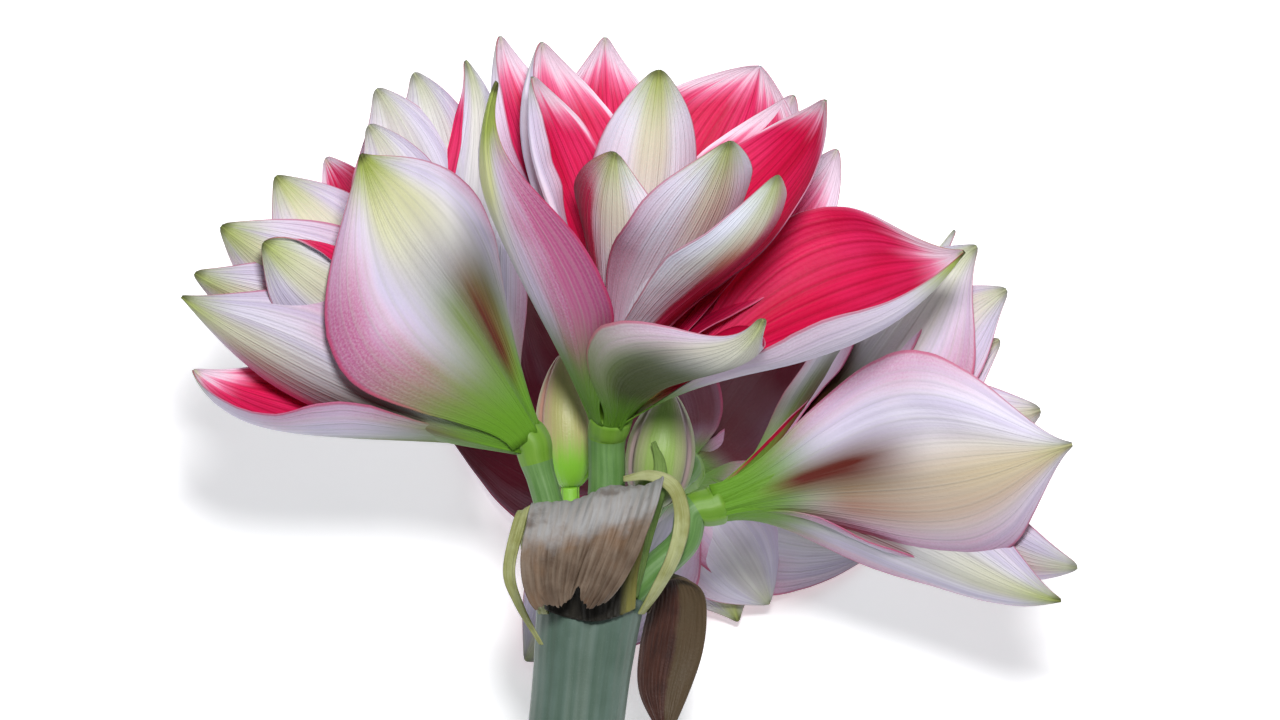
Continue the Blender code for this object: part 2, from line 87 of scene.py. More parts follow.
def lamp(name, towards, distance, size, watts, colour):
    """An area lamp that looks at the blooms from a direction in the upright frame."""
    light = bpy.data.lights.new(name, "AREA")
    light.shape = "DISK"
    light.size = size
    light.energy = watts
    light.color = colour
    holder = bpy.data.objects.new(name, light)
    bpy.context.scene.collection.objects.link(holder)
    middle = TABLE @ Vector((10.0, 80.0, 0.0))
    way = (TABLE.to_3x3() @ Vector(towards)).normalized()
    holder.location = middle + way * distance
    holder.rotation_euler = way.to_track_quat("Z", "Y").to_euler()
    return holder


lamp("flash_lamp", (0.05, 0.26, 1.0), 1.5, 0.28, 24.5, (1.0, 0.99, 0.98))
lamp("fill_lamp", (0.3, 1.3, 0.4), 1.8, 1.2, 7.0, (0.95, 0.97, 1.0))
world = bpy.data.worlds.new("pale_room")
world.use_nodes = True
background = world.node_tree.nodes["Background"]
background.inputs["Color"].default_value = (0.93, 0.95, 1.0, 1.0)
background.inputs["Strength"].default_value = 0.20
bpy.context.scene.world = world
bpy.context.scene.view_settings.view_transform = "Standard"

# %% [markdown]
# ## A short way to write nodes
# Both a material and a Geometry Nodes tree are sums done on sockets. The class Wire holds one
# socket, and Python's own operators add the Math or Vector Math node that they stand for, so a
# rule can be read as a formula. Every other node goes through Board.add.

# %% Wires and boards


def operator(operation, turned=False):
    """The method behind one of Python's operators; turned is for a number before the wire."""
    def method(self, other):
        return self.sum(operation, other, self) if turned else self.sum(operation, self, other)
    return method


def single(operation):
    """The method for a sum on one socket alone."""
    def method(self):
        return self.sum(operation, self)
    return method


def is_wide(value):
    """True for a vector or a colour, false for a plain number."""
    return value.vector if isinstance(value, Wire) else isinstance(value, (tuple, Vector))


class Wire:
    """One output socket. Arithmetic on it adds the nodes that do the sum."""

    def __init__(self, board, socket):
        self.board = board
        self.socket = socket
        self.vector = socket.type in ("VECTOR", "RGBA")

    def sum(self, operation, first, second=None):
        """A Math node for numbers, or a Vector Math node where a side has three parts."""
        if not is_wide(first) and not is_wide(second):
            sockets = {0: first} if second is None else {0: first, 1: second}
            return self.board.add("ShaderNodeMath", {"operation": operation}, sockets)
        sockets = {0: first, 1: second}
        if operation == "MULTIPLY" and not is_wide(second):
            operation, sockets = "SCALE", {0: first, 3: second}
        elif operation == "MULTIPLY" and not is_wide(first):
            operation, sockets = "SCALE", {0: second, 3: first}
        return self.board.add("ShaderNodeVectorMath", {"operation": operation}, sockets)

    __add__, __radd__ = operator("ADD"), operator("ADD", True)
    __sub__, __rsub__ = operator("SUBTRACT"), operator("SUBTRACT", True)
    __mul__, __rmul__ = operator("MULTIPLY"), operator("MULTIPLY", True)
    __truediv__, __rtruediv__ = operator("DIVIDE"), operator("DIVIDE", True)
    __pow__, at_least, at_most = operator("POWER"), operator("MAXIMUM"), operator("MINIMUM")
    __abs__, sin, cos = single("ABSOLUTE"), single("SINE"), single("COSINE")
    sign, exp = single("SIGN"), single("EXPONENT")

    def __neg__(self):
        return self * -1.0

    def cross(self, other):
        return self.board.add("ShaderNodeVectorMath", {"operation": "CROSS_PRODUCT"}, {0: self, 1: other})

    def dot(self, other):
        return self.board.add("ShaderNodeVectorMath", {"operation": "DOT_PRODUCT"}, {0: self, 1: other},
                              "Value")

    def unit(self):
        return self.board.add("ShaderNodeVectorMath", {"operation": "NORMALIZE"}, {0: self})

    def ease(self, low, high):
        """0 below low, 1 above high, and an S-curve between; low may be above high."""
        return self.board.add("ShaderNodeMapRange", {"interpolation_type": "SMOOTHSTEP"},
                              {"Value": self, "From Min": low, "From Max": high})

    def parts(self):
        return self.board.add("ShaderNodeSeparateXYZ", {}, {0: self}, ("X", "Y", "Z"))


class Board:
    """A node tree, and the one method that adds nodes to it."""

    def __init__(self, tree):
        self.tree = tree

    def plug(self, socket, value):
        """Link a wire to a socket, or set a plain value on it."""
        if isinstance(value, Wire):
            self.tree.links.new(value.socket, socket)
        elif socket.type == "RGBA" and len(value) == 3:
            socket.default_value = (*value, 1.0)
        else:
            socket.default_value = value

    def add(self, kind, settings=None, sockets=None, out=0):
        """A node from its type, its settings and the values or links of its sockets."""
        node = self.tree.nodes.new(kind)
        for name, value in (settings or {}).items():
            setattr(node, name, value)
        for key, value in (sockets or {}).items():
            self.plug(node.inputs[key], value)
        if isinstance(out, tuple):
            return [Wire(self, node.outputs[key]) for key in out]
        return Wire(self, node.outputs[out])

    def mix(self, first, second, share):
        """One colour over another, by a share from 0 to 1."""
        return self.add("ShaderNodeMix", {"data_type": "RGBA", "clamp_factor": True},
                        {0: share, 6: first, 7: second}, 2)

    def join(self, x, y, z=0.0):
        return self.add("ShaderNodeCombineXYZ", {}, {0: x, 1: y, 2: z})

    def noise(self, place, scale, detail=3.0, rough=0.55):
        return self.add("ShaderNodeTexNoise", {}, {"Vector": place, "Scale": scale, "Detail": detail,
                                                   "Roughness": rough}, "Fac")


print("node classes ready")

# %% [markdown]
# ## The rule of a petal
# An amaryllis tepal is narrow at its foot, widest past its middle and drawn out to a point. It
# follows a bent midrib, curls up round it, twists a little, and its margins ripple. That is a
# rule, so Geometry Nodes can draw every tepal from one tree: a flat grid is moved point by
# point along a cubic curve, with the width, curl, ripple and rib as formulas of u (foot to tip)
# and v (margin to margin). The sheet is then made a closed blade, thick along its midrib and
# thin at its margins, and it keeps u and v as a map for its colours.

# %% Geometry Nodes: inputs and the flat grid
PETAL_INPUTS = {
    "Vector": ("Foot", "Lower handle", "Upper handle", "Tip", "Across", "Tone", "Marks"),
    "Int": ("Rows", "Columns"),
    "Float": ("Width", "Claw", "Neck", "Fullest", "Cup", "Skew", "Bow", "Roll", "Wave", "Waves", "Phase",
              "Ruffle", "Fold below", "Fold above", "Hem", "Blunt tip", "Keel", "Dent", "Dent place",
              "Thickness", "Seed", "Paleness"),
    "Material": ("Skin",),
}
petal_tree = bpy.data.node_groups.new("tepal", "GeometryNodeTree")
petal_tree.interface.new_socket(name="Blade", in_out="OUTPUT", socket_type="NodeSocketGeometry")
for kind, names in PETAL_INPUTS.items():
    for name in names:
        petal_tree.interface.new_socket(name=name, in_out="INPUT", socket_type="NodeSocket" + kind)
board = Board(petal_tree)
given = petal_tree.nodes.new("NodeGroupInput")
ask = {name: Wire(board, given.outputs[name]) for names in PETAL_INPUTS.values() for name in names}


def keep(mesh, name, kind, value, domain="POINT"):
    """The mesh with a value stored on it under a name."""
    return mesh.board.add("GeometryNodeStoreNamedAttribute", {"data_type": kind, "domain": domain},
                          {"Geometry": mesh, "Name": name, "Value": value})


def recall(board, name):
    return board.add("GeometryNodeInputNamedAttribute", {"data_type": "FLOAT_VECTOR"}, {"Name": name})


grid = board.add("GeometryNodeMeshGrid", {}, {
    "Size X": 1.0, "Size Y": 2.0, "Vertices X": ask["Rows"], "Vertices Y": ask["Columns"]}, "Mesh")
grid = keep(grid, "flat", "FLOAT_VECTOR", board.add("GeometryNodeInputPosition"))
x, y = recall(board, "flat").parts()[:2]
u = 1.0 - (0.5 - x) ** 1.25
v = y * (1.3 - y * y * 0.3)
s = 1.0 - u
edge = abs(v)
print("tepal inputs:", sorted(ask))

# %% [markdown]
# ### Midrib and width
# Two ends and two handles bend the midrib, as in any curve tool, and a frame of three ways
# follows it: along, side and inward. The width rises from the narrow claw to its fullest place
# and falls again to the tip, which a blunt tepal rounds off, and a little noise keeps the
# margins from being even.

# %% Geometry Nodes: midrib and width
centre = (ask["Foot"] * (s ** 3.0) + ask["Lower handle"] * (3.0 * s * s * u)
          + ask["Upper handle"] * (3.0 * s * u * u) + ask["Tip"] * (u ** 3.0))
along = ((ask["Lower handle"] - ask["Foot"]) * (3.0 * s * s)
         + (ask["Upper handle"] - ask["Lower handle"]) * (6.0 * s * u)
         + (ask["Tip"] - ask["Upper handle"]) * (3.0 * u * u)).unit()
side = (ask["Across"] - along * along.dot(ask["Across"])).unit()
inward = along.cross(side)
turned = ask["Roll"] * u
side, inward = (side * turned.cos() + inward * turned.sin(),
                inward * turned.cos() - side * turned.sin())
fall = ask["Neck"] * (1.0 - ask["Fullest"]) / ask["Fullest"]
outline = (u / ask["Fullest"]) ** ask["Neck"] * (s / (1.0 - ask["Fullest"])) ** fall
outline = ask["Claw"] * s * s + outline
margin = board.noise(board.join(u * 5.0, v.sign() * 3.0, ask["Seed"]), 1.0, 3.0)
blunt = ask["Blunt tip"] * (1.0 - u ** 9.0) ** 0.5 * u.ease(0.45, 0.9)
half = ask["Width"] * 0.5 * outline * (1.0 + (margin - 0.5) * 0.10 * edge) + 0.6 + blunt
print("midrib and width:", len(petal_tree.nodes), "nodes so far")

# %% [markdown]
# ### Curl, hem and ripples
# Across its width the blade is an arc. Past its hem it may bend once more, outwards for a fold
# above 0 and inwards below 0, and runs on straight from there. Ripples grow towards the
# margins, a rib stands along the middle, and a dent may hollow the blade beside it.

# %% Geometry Nodes: curl, hem and ripples
CREASE, RIB_SHARPNESS, DENT_WIDTH = 0.12, 60.0, 0.26
arc = (0.75 + (ask["Cup"] - 0.75) * (u * 2.5).ease(0.0, 1.0)) * (1.0 - 0.25 * u)
bell = (math.pi * u).sin()
upper = v.ease(-0.01, 0.01)
crumple = board.noise(board.join(u * 4.0, v.sign() * 2.0, ask["Seed"] + 11.0), 1.0, 2.0)
roll = ask["Fold above"] * upper + ask["Fold below"] * (1.0 - upper)
roll = roll * bell ** 0.5 * (0.8 + crumple * 0.4)
beyond = (edge - ask["Hem"]).at_least(0.0)
bent = beyond.at_most(CREASE)
inside = edge - beyond
bend = roll / CREASE - arc
flat_across = half * (arc * inside).sin() / arc
flat_lift = half * (1.0 - (arc * inside).cos()) / arc
ahead = half * (bend * bent).sin() / bend + half * (beyond - bent) * (bend * CREASE).cos()
outward = half * (1.0 - (bend * bent).cos()) / bend + half * (beyond - bent) * (bend * CREASE).sin()
slope = (arc * inside).sin()
level = (arc * inside).cos()
reach = flat_across + level * ahead + slope * outward
curl = flat_lift + slope * ahead - level * outward
across = v.sign() * reach * (1.0 + ask["Skew"] * (2.0 * u - 1.0) * v) + ask["Bow"] * bell
ripple = (2.0 * math.pi * ask["Waves"] * u + ask["Phase"] + 1.4 * v.sign()).sin()
small = board.noise(board.join(u * 9.0, v * 1.5, ask["Seed"] + 7.0), 1.0, 2.0) - 0.5
rib = (-(v * v) * RIB_SHARPNESS).exp()
from_dent = (v - ask["Dent place"] * s.ease(0.0, 0.7)) / DENT_WIDTH
dent = (-(from_dent * from_dent)).exp() * ask["Dent"]
lift = curl + ask["Wave"] * edge ** 2.5 * ripple * bell
lift = lift + ask["Ruffle"] * small * edge ** 2.0 * bell * 2.0
lift = lift - ask["Keel"] * rib * (1.0 - u * 0.5) + dent * bell
place = centre + side * across + inward * lift
print("curl, hem and ripples:", len(petal_tree.nodes), "nodes so far")

# %% [markdown]
# ### A closed blade
# The grid goes to its places and keeps u and v as its map. One copy of the sheet is turned over
# for the outside and one is pushed inwards for the inside, with a rim between the two, so the
# blade is closed. Then points that meet are merged and the skin is set.

# %% Geometry Nodes: a closed blade
SAME_POINT = 0.002
sheet = board.add("GeometryNodeSetPosition", {}, {"Geometry": grid, "Position": place})
map_place = board.add("GeometryNodeFieldOnDomain", {"domain": "POINT", "data_type": "FLOAT_VECTOR"},
                      {0: board.join(v * 0.5 + 0.5, u)})
sheet = keep(sheet, "petal_map", "FLOAT2", map_place, "CORNER")
sheet = keep(sheet, "petal_tone", "FLOAT_VECTOR", ask["Tone"])
sheet = keep(sheet, "petal_seed", "FLOAT", ask["Seed"])
sheet = keep(sheet, "petal_marks", "FLOAT_VECTOR", ask["Marks"])
sheet = keep(sheet, "petal_pale", "FLOAT", ask["Paleness"])
depth = ask["Thickness"] * (1.0 - 0.55 * edge ** 3.0)
sheet = keep(sheet, "push", "FLOAT_VECTOR", board.add("GeometryNodeInputNormal") * depth)
push = recall(board, "push")
sheet = board.add("GeometryNodeSetPosition", {}, {"Geometry": sheet, "Offset": push * -0.5})
grown, top = board.add("GeometryNodeExtrudeMesh", {"mode": "FACES"},
                       {"Mesh": sheet, "Offset Scale": 0.0, "Individual": False}, ("Mesh", "Top"))
grown = board.add("GeometryNodeSetPosition", {}, {"Geometry": grown, "Selection": top, "Offset": push})
grown = keep(grown, "petal_inner", "FLOAT", top, "FACE")
under = board.add("GeometryNodeFlipFaces", {}, {"Mesh": sheet})
both = board.add("GeometryNodeJoinGeometry", {}, {"Geometry": under})
board.tree.links.new(grown.socket, both.socket.node.inputs["Geometry"])
both = board.add("GeometryNodeMergeByDistance", {}, {"Geometry": both, "Distance": SAME_POINT})
for name in ("push", "flat"):
    both = board.add("GeometryNodeRemoveAttribute", {}, {"Geometry": both, "Name": name})
both = board.add("GeometryNodeSetShadeSmooth", {}, {"Geometry": both})
both = board.add("GeometryNodeRealizeInstances", {}, {"Geometry": both})
both = board.add("GeometryNodeSetMaterial", {}, {"Geometry": both, "Material": ask["Skin"]})
board.plug(petal_tree.nodes.new("NodeGroupOutput").inputs[0], both)
print("tepal tree:", len(petal_tree.nodes), "nodes")

# %% [markdown]
# ## The skin of a petal
# Each tepal is crimson inside, with darker veins and a white margin and tip. Outside it is a
# pale lilac white that blushes towards the margins, with fine grey-green veins, a green midrib,
# a bright green foot and a yellow-green tip. All of it follows the tepal, so the material reads
# the map of u and v that the tree stored. Single tepals differ by eight numbers stored with it:
# green for the midrib and tip, keel for the dull green low on the back, its own green with painted
# shade over it (a near black painted shadow above 1.5), blush for pink margins (crimson above 1.2),
# flank for a brown-red stripe, tan for a sandy back (below 0 a colder white, brightened as painted
# light), side, which moves keel and blush off the middle, pale for a wider white hem inside (below
# 0 a wine-dark painted shade on the back), and a seed for the streaks.

# %% Helpers for materials


def new_material(name):
    """A material whose nodes are added by hand, with its board and its shader."""
    made = bpy.data.materials.new(name)
    made.use_nodes = True
    return made, Board(made.node_tree), made.node_tree.nodes["Principled BSDF"]


def read(board, name, out="Fac"):
    return board.add("ShaderNodeAttribute", {"attribute_name": name}, {}, out)


def own_map(board, name):
    """The two coordinates of a piece's own map."""
    return board.add("ShaderNodeUVMap", {"uv_map": name}).parts()[:2]


def own_place(board):
    """Each point's place on the object, in metres."""
    return board.add("ShaderNodeTexCoord", {}, {}, "Object")


def finish_skin(board, shader, colour, rough, height, depth, gloss=0.5):
    """Colour, roughness and gloss, and small relief: height, about 0 to 1, times depth in metres."""
    board.plug(shader.inputs["Base Color"], colour)
    board.plug(shader.inputs["Roughness"], rough)
    shader.inputs["Specular IOR Level"].default_value = gloss
    normal = board.add("ShaderNodeBump", {}, {"Height": height, "Strength": 1.0, "Distance": depth})
    board.plug(shader.inputs["Normal"], normal)


print("material helpers ready")

# %% Material: petal skin, its map and its streaks
petal_skin, board, shader = new_material("petal_skin")
across, along = own_map(board, "petal_map")
v = across * 2.0 - 1.0
edge = abs(v)
seed = read(board, "petal_seed")
inner = read(board, "petal_inner")
pale = read(board, "petal_pale")
green, keel, blush = read(board, "petal_tone", "Vector").parts()
flank, tan, side = read(board, "petal_marks", "Vector").parts()

streak = board.noise(board.join(v * 7.0, along * 0.9, seed), 1.0, 3.0)
patch = board.noise(board.join(v * 1.6, along * 2.6, seed + 3.0), 1.0, 2.0)
grain = board.noise(board.join(v * 40.0, along * 80.0, seed), 1.0, 2.0)
speck = board.noise(board.join(v * 52.0, along * 150.0, seed), 1.0, 3.0).ease(0.28, 0.72)
veins = ((v * 58.0 + (streak - 0.5) * 4.0).sin() * 0.5 + 0.5) ** 5.0
fine = ((v * 150.0 + (streak - 0.5) * 9.0).sin() * 0.5 + 0.5) ** 2.0
streaky = (streak - 0.5) * 0.9
print("petal streaks:", len(petal_skin.node_tree.nodes), "nodes")

# %% Material: petal skin, lilac outside, its blush and painted light
DULL_LILAC, LIGHT_LILAC, LIT_WHITE = (0.54, 0.49, 0.66), (0.73, 0.70, 0.83), (0.80, 0.86, 0.98)
PINK, CRIMSON = (0.45, 0.11, 0.26), (0.50, 0.010, 0.085)
DRY_BROWN, SAND = (0.30, 0.13, 0.07), (0.52, 0.38, 0.27)
outside = board.mix(DULL_LILAC, LIGHT_LILAC, (streak * 0.6 + patch * 0.4).ease(0.38, 0.62))
# Painted light: with tan below 0 the back turns a colder white, the tepal's own white brightened as if lit
# where it faces down.
outside = board.mix(outside, LIT_WHITE, tan.ease(0.0, -1.0) * (0.42 + patch * 0.4))
off = abs(v - side * 0.3)
blushed = (off + streaky * 0.6 + (patch - 0.5) * 0.9 + (0.5 - along) * 0.35).ease(0.38, 1.06) * blush
blushed = blushed * (0.3 + along.ease(0.92, 0.58) * 0.7)
flush = board.mix(PINK, CRIMSON, blush.ease(1.2, 1.7))
outside = board.mix(outside, flush, blushed * (0.74 + speck * 0.26))
deep_flush = flush * (0.55, 0.40, 0.52)
outside = board.mix(outside, deep_flush, blushed * off.ease(0.80, 1.35) * (0.40 + speck * 0.3))
sandy = board.mix(DRY_BROWN, SAND, along.ease(0.28, 0.60))
outside = board.mix(outside, sandy, abs(v - 0.22).ease(0.60, 0.12) * along.ease(0.12, 0.36) * tan)
print("with the blush:", len(petal_skin.node_tree.nodes), "nodes")

# %% Material: petal skin, midrib, veins, foot, tip and painted shade
MIDRIB_GREEN, KEEL_GREEN, KEEL_SHADE_GREY = (0.60, 0.62, 0.30), (0.17, 0.22, 0.08), (0.25, 0.27, 0.24)
VEIN_GREY, FINE_GREY, TIP_GREEN = (0.36, 0.36, 0.33), (0.50, 0.52, 0.46), (0.34, 0.42, 0.09)
FOOT_GREEN_SHADE, FOOT_BRIGHT, KEEL_SHADOW = (0.13, 0.20, 0.035), (0.11, 0.27, 0.015), (0.040, 0.050, 0.012)
BROWN_RED, TIP_POINT = (0.095, 0.012, 0.007), (0.10, 0.11, 0.03)
WINE_SHADE, MARGIN_PINK = (0.105, 0.002, 0.014), (0.42, 0.02, 0.09)
middle = abs(v - side * 0.42 * (1.0 - along))
band = (middle - along * 0.16 - (keel - 0.9).ease(0.0, 2.0) * 0.5).ease(0.40, 0.02)
outside = board.mix(outside, MIDRIB_GREEN, band * along.ease(0.38, 0.86) * green * 0.68)
# The keel band is the tepal's own green low down, and higher up a grey of painted shade, as in the hollow
# beside the midrib.
keel_green_and_shade = board.mix(KEEL_GREEN, KEEL_SHADE_GREY, along.ease(0.34, 0.58))
outside = board.mix(outside, keel_green_and_shade, band * along.ease(0.74, 0.36) * keel * 0.72)
vein_share = veins * (0.10 + 0.10 * keel) * edge.ease(1.0, 0.75) * along.ease(0.1, 0.5)
outside = board.mix(outside, VEIN_GREY, vein_share)
outside = board.mix(outside, FINE_GREY, fine * 0.10)
tip_share = (along + streaky * 0.12 - edge * 0.05).ease(0.86 - green * 0.06, 1.02) * green
outside = board.mix(outside, TIP_GREEN, tip_share)
# Low on the back the tepal's own green is dulled by painted shade, and a higher keel carries it further up.
foot = (along - streaky * 0.12 + edge * 0.05).ease(0.26 + 0.20 * keel, 0.10 + 0.05 * keel)
outside = board.mix(outside, FOOT_GREEN_SHADE, foot * 0.9)
# Painted shadow: with keel above 1.5 the lower back goes a near black olive, as under an overhanging tepal.
keel_shadow_share = band * along.ease(0.84, 0.45) * keel.ease(1.5, 2.2) * 0.88
outside = board.mix(outside, KEEL_SHADOW, keel_shadow_share)
outside = board.mix(outside, FOOT_BRIGHT, (along - streaky * 0.05).ease(0.28, 0.06) * 0.95)
stripe = abs(v - side * 0.40).ease(0.34, 0.0) * along.ease(0.08, 0.24) * along.ease(0.62, 0.34)
outside = board.mix(outside, BROWN_RED, stripe * flank * (0.85 + streaky))
outside = board.mix(outside, TIP_POINT, along.ease(0.962, 1.0) * green * 0.8)
# Painted shade: with pale below 0 the back of a tepal goes a dark wine colour, a little lighter at its
# margins.
wine_shade = pale.ease(0.0, -0.9) * (1.0 - edge.ease(0.86, 1.0) * 0.25)
outside = board.mix(outside, WINE_SHADE, wine_shade * along.ease(0.10, 0.3) * (0.74 + patch * 0.5))
outside = board.mix(outside, MARGIN_PINK, edge.ease(0.955, 0.985) * along.ease(0.18, 0.35) * 0.6)
print("outside of a petal:", len(petal_skin.node_tree.nodes), "nodes")

# %% Material: petal skin, crimson inside
RED, DEEP_RED, WARM_RED = (0.62, 0.003, 0.065), (0.46, 0.001, 0.038), (0.72, 0.035, 0.17)
VEIN_RED, FINE_RED = (0.27, 0.0, 0.018), (0.40, 0.0, 0.03)
HEM_PINK, HEM_WHITE = (0.80, 0.20, 0.38), (0.80, 0.68, 0.80)
INNER_TIP, THROAT_GREEN = (0.50, 0.56, 0.28), (0.30, 0.40, 0.10)
inside = board.mix(RED, DEEP_RED, streak.ease(0.35, 0.70))
inside = board.mix(inside, WARM_RED, (patch + along * 0.25).ease(0.50, 0.85) * 0.5)
inside = board.mix(inside, VEIN_RED, veins * 0.5)
inside = board.mix(inside, FINE_RED, fine * 0.25)
hem = (edge + streaky * 0.30 + (along - 0.5) * 0.30).ease(1.16 - 0.36 * pale, 1.30 - 0.22 * pale)
tip = (along + streaky * 0.22 + edge * 0.10).ease(0.97 - 0.30 * pale, 1.08 - 0.10 * pale)
inside = board.mix(inside, HEM_PINK, ((hem + tip) * 1.4).ease(0.0, 1.0) * 0.85)
inside = board.mix(inside, HEM_WHITE, (hem + tip).ease(0.45, 1.0) * 0.9)
inside = board.mix(inside, INNER_TIP, (along - edge * 0.04).ease(0.95, 1.0) * green)
inside = board.mix(inside, THROAT_GREEN, along.ease(0.16, 0.04))
relief = veins * 0.5 + fine * 0.25 + grain * 0.6
colour = board.mix(outside, inside, inner)
finish_skin(board, shader, colour, 0.48 + grain * 0.2, relief, 0.00018, gloss=0.2)
print("petal skin:", len(petal_skin.node_tree.nodes), "nodes")

# %% [markdown]
# ## Every tepal of the four blooms
# A double bloom has a ring of outer sepals, a ring of inner petals, and many narrow petaloids
# where a single flower has its stamens. Each row below places one tip, as read off the flower,
# gives its width, and says in degrees how the tepal leaves the tube (lean) and how its tip turns
# out (turn). Cup curls it across, spin and roll turn it about the flower and about itself, bow
# and skew move it to one side, full is where it is widest and neck how slowly it widens. Fold
# and hem turn a margin over, dent hollows the blade, blunt, ruffle and rib shape its tip, its
# small ripples and its ridge, and the rest are its colours, with painted shade where keel is
# high or pale below 0 and painted light where tan is below 0. The rows and the rule are those of
# the solids, apart from a few folded or overlapping petals, so each blade lies where its solid
# lies.

# %% Kinds of tepal
KINDS = {
    "sepal": dict(ring=6.0, rise=0.0, claw=0.17, p=1.60, q=1.45, wave=1.2, waves=1.6),
    "petal": dict(ring=5.0, rise=2.0, claw=0.14, p=1.65, q=1.35, wave=1.8, waves=2.2),
    "petaloid": dict(ring=3.6, rise=6.0, claw=0.10, p=1.75, q=1.35, wave=1.5, waves=2.0),
}
LOOKS = {
    "sepal": dict(green=0.95, keel=0.9, blush=0.75, pale=0.45, ruffle=0.7, rib=0.7, blunt=1.6,
                  flank=0.6),
    "petal": dict(green=0.55, keel=0.35, blush=0.85, pale=0.45, ruffle=1.0, rib=0.5, blunt=3.0,
                  flank=0.3),
    "petaloid": dict(green=0.5, keel=0.2, blush=0.6, pale=0.6, ruffle=0.9, rib=0.4, blunt=4.2,
                     flank=0.0),
}


def tepal(kind, tip, width, **more):
    """One row: plain values, the look of its kind, and what differs on this tepal."""
    row = dict(kind=kind, tip=tip, width=width, turn=10.0, lean=0.0, cup=0.8, spin=0.0, roll=0.0,
               bow=0.0, skew=0.0, root=1, hold=0.38, full=None, neck=None, fold=(0.0, 0.0),
               hem=0.74, dent=(0.0, 0.0), tan=0.0, side=0.0)
    row.update(LOOKS[kind])
    row.update(more)
    return row


print("kinds of tepal:", list(KINDS))

# %% Rows of the left bloom
LEFT = dict(base=(-19.5, 49.2, 8.0), axis=(-0.72, 0.68, -0.12), foot=5.6, petals=[
    # keel 1.5 on this sepal paints grey shade along its hollowed middle.
    tepal("sepal", (-68, 133, 40), 76, turn=36, lean=33, cup=0.95, skew=0.3, full=0.54,
          green=1.3, keel=1.5, flank=1.1, side=0.85, blush=1.0, dent=(5.2, 0.32)),
    tepal("sepal", (-122, 91, 12), 54, turn=5, lean=40, cup=1.1, spin=15, full=0.56),
    tepal("petal", (-119, 69, 0), 54, turn=-8, lean=36, cup=1.2, roll=-38, full=0.58, keel=1.2,
          green=0.9),
    tepal("petaloid", (-110, 112, 20), 40, spin=5, full=0.58, green=1.0),
    tepal("petaloid", (-97, 107, 34), 38, spin=-15, roll=15, full=0.6, green=1.0, pale=0.1,
          fold=(0, 3.4), hem=0.62),
    tepal("petaloid", (-118, 98, 16), 34, turn=20, spin=20, green=0.9),
    tepal("petal", (-94, 127, 10), 46, spin=5, full=0.58, green=0.9),
    tepal("petaloid", (-80, 133, -32), 36, turn=20, pale=0.2),
    tepal("petaloid", (-64, 153, 10), 40, spin=-50, turn=25),
    tepal("petaloid", (-66, 142, 22), 34, spin=-30, turn=20),
    tepal("petaloid", (-53, 158, 0), 40, spin=-55, turn=25),
    tepal("sepal", (-37.5, 162, -10), 49, turn=35, spin=-55, pale=0.1, green=0.6, fold=(3.4, 0),
          hem=0.68),
    tepal("sepal", (-70, 112, -70), 54, turn=40),
    tepal("petal", (-100, 62, -50), 48, turn=50),
    tepal("petal", (-40, 126, -58), 46, turn=40),
])
print("left bloom:", len(LEFT["petals"]), "tepals")

# %% Rows of the front bloom
FRONT = dict(base=(6.3, 55.5, 15.0), axis=(0.14, 0.83, 0.54), foot=6.6, petals=[
    tepal("sepal", (-27, 153.5, 92), 62, turn=-16, lean=25, cup=1.2, roll=36, bow=5, full=0.42, neck=2.1,
          green=2.3, blush=1.3, keel=1.0, side=-1.2),
    # keel 2.6 paints a near black shadow low on the back of this sepal.
    tepal("sepal", (51, 84, 100), 58, turn=4, lean=20, cup=1.3, roll=-26, bow=-5, neck=2.2, full=0.46,
          keel=2.6, flank=0.3, green=0.8, blush=0.45, side=0.5, blunt=3.2),
    tepal("petal", (111, 104, 50), 76, turn=26, lean=44, cup=1.7, hold=0.36, roll=12, skew=0.3,
          neck=2.2, full=0.58, green=1.5, blush=0.35),
    tepal("sepal", (51, 160, 5), 54, turn=20, full=0.62, pale=0.35, blunt=5.0, green=0.0),
    tepal("petal", (4.5, 169, -12), 42, turn=20, pale=0.5),
    tepal("petaloid", (-14.5, 167, 10), 40, turn=15, cup=0.9, fold=(0, -3.0), hem=0.66),
    tepal("petal", (-27, 169, 0), 34, turn=20, pale=0.6, fold=(0, -3.0), hem=0.64),
    tepal("petaloid", (-17, 156, 38), 34, cup=1.0, spin=10, pale=0.5, fold=(0, -3.1), hem=0.50),
    # tan below 0 on these front petaloids paints light into their white backs.
    tepal("petaloid", (20.5, 157.5, 72), 30, turn=-15, cup=0.9, root=-1, full=0.62, blush=0.7, green=1.0,
          keel=0.0, tan=-0.7),
    tepal("petaloid", (7.8, 133, 77), 36, turn=-6, roll=14, cup=0.9, full=0.6, green=0.9,
          keel=0.0, blush=2.6, side=1.5, tan=-0.9, pale=0.1),
    tepal("petaloid", (41, 136, 97), 40, turn=0, cup=0.9, spin=-30, roll=30, full=0.62, green=0.9,
          keel=0.0, blush=0.7, side=0.6, tan=-0.9, pale=0.1),
    tepal("petaloid", (55, 126, 98), 36, turn=-8, cup=0.9, spin=-30, roll=30, full=0.62, green=0.8,
          keel=0.0, blush=1.8, side=-3.0, tan=-0.9, pale=0.1),
    tepal("petaloid", (70, 149, 44), 40, turn=-5, cup=1.0, pale=0.35),
    tepal("petaloid", (61, 151, 12), 32, pale=0.8),
    tepal("petal", (74, 135, 4), 33, turn=20, roll=28, pale=0.8),
])
print("front bloom:", len(FRONT["petals"]), "tepals")

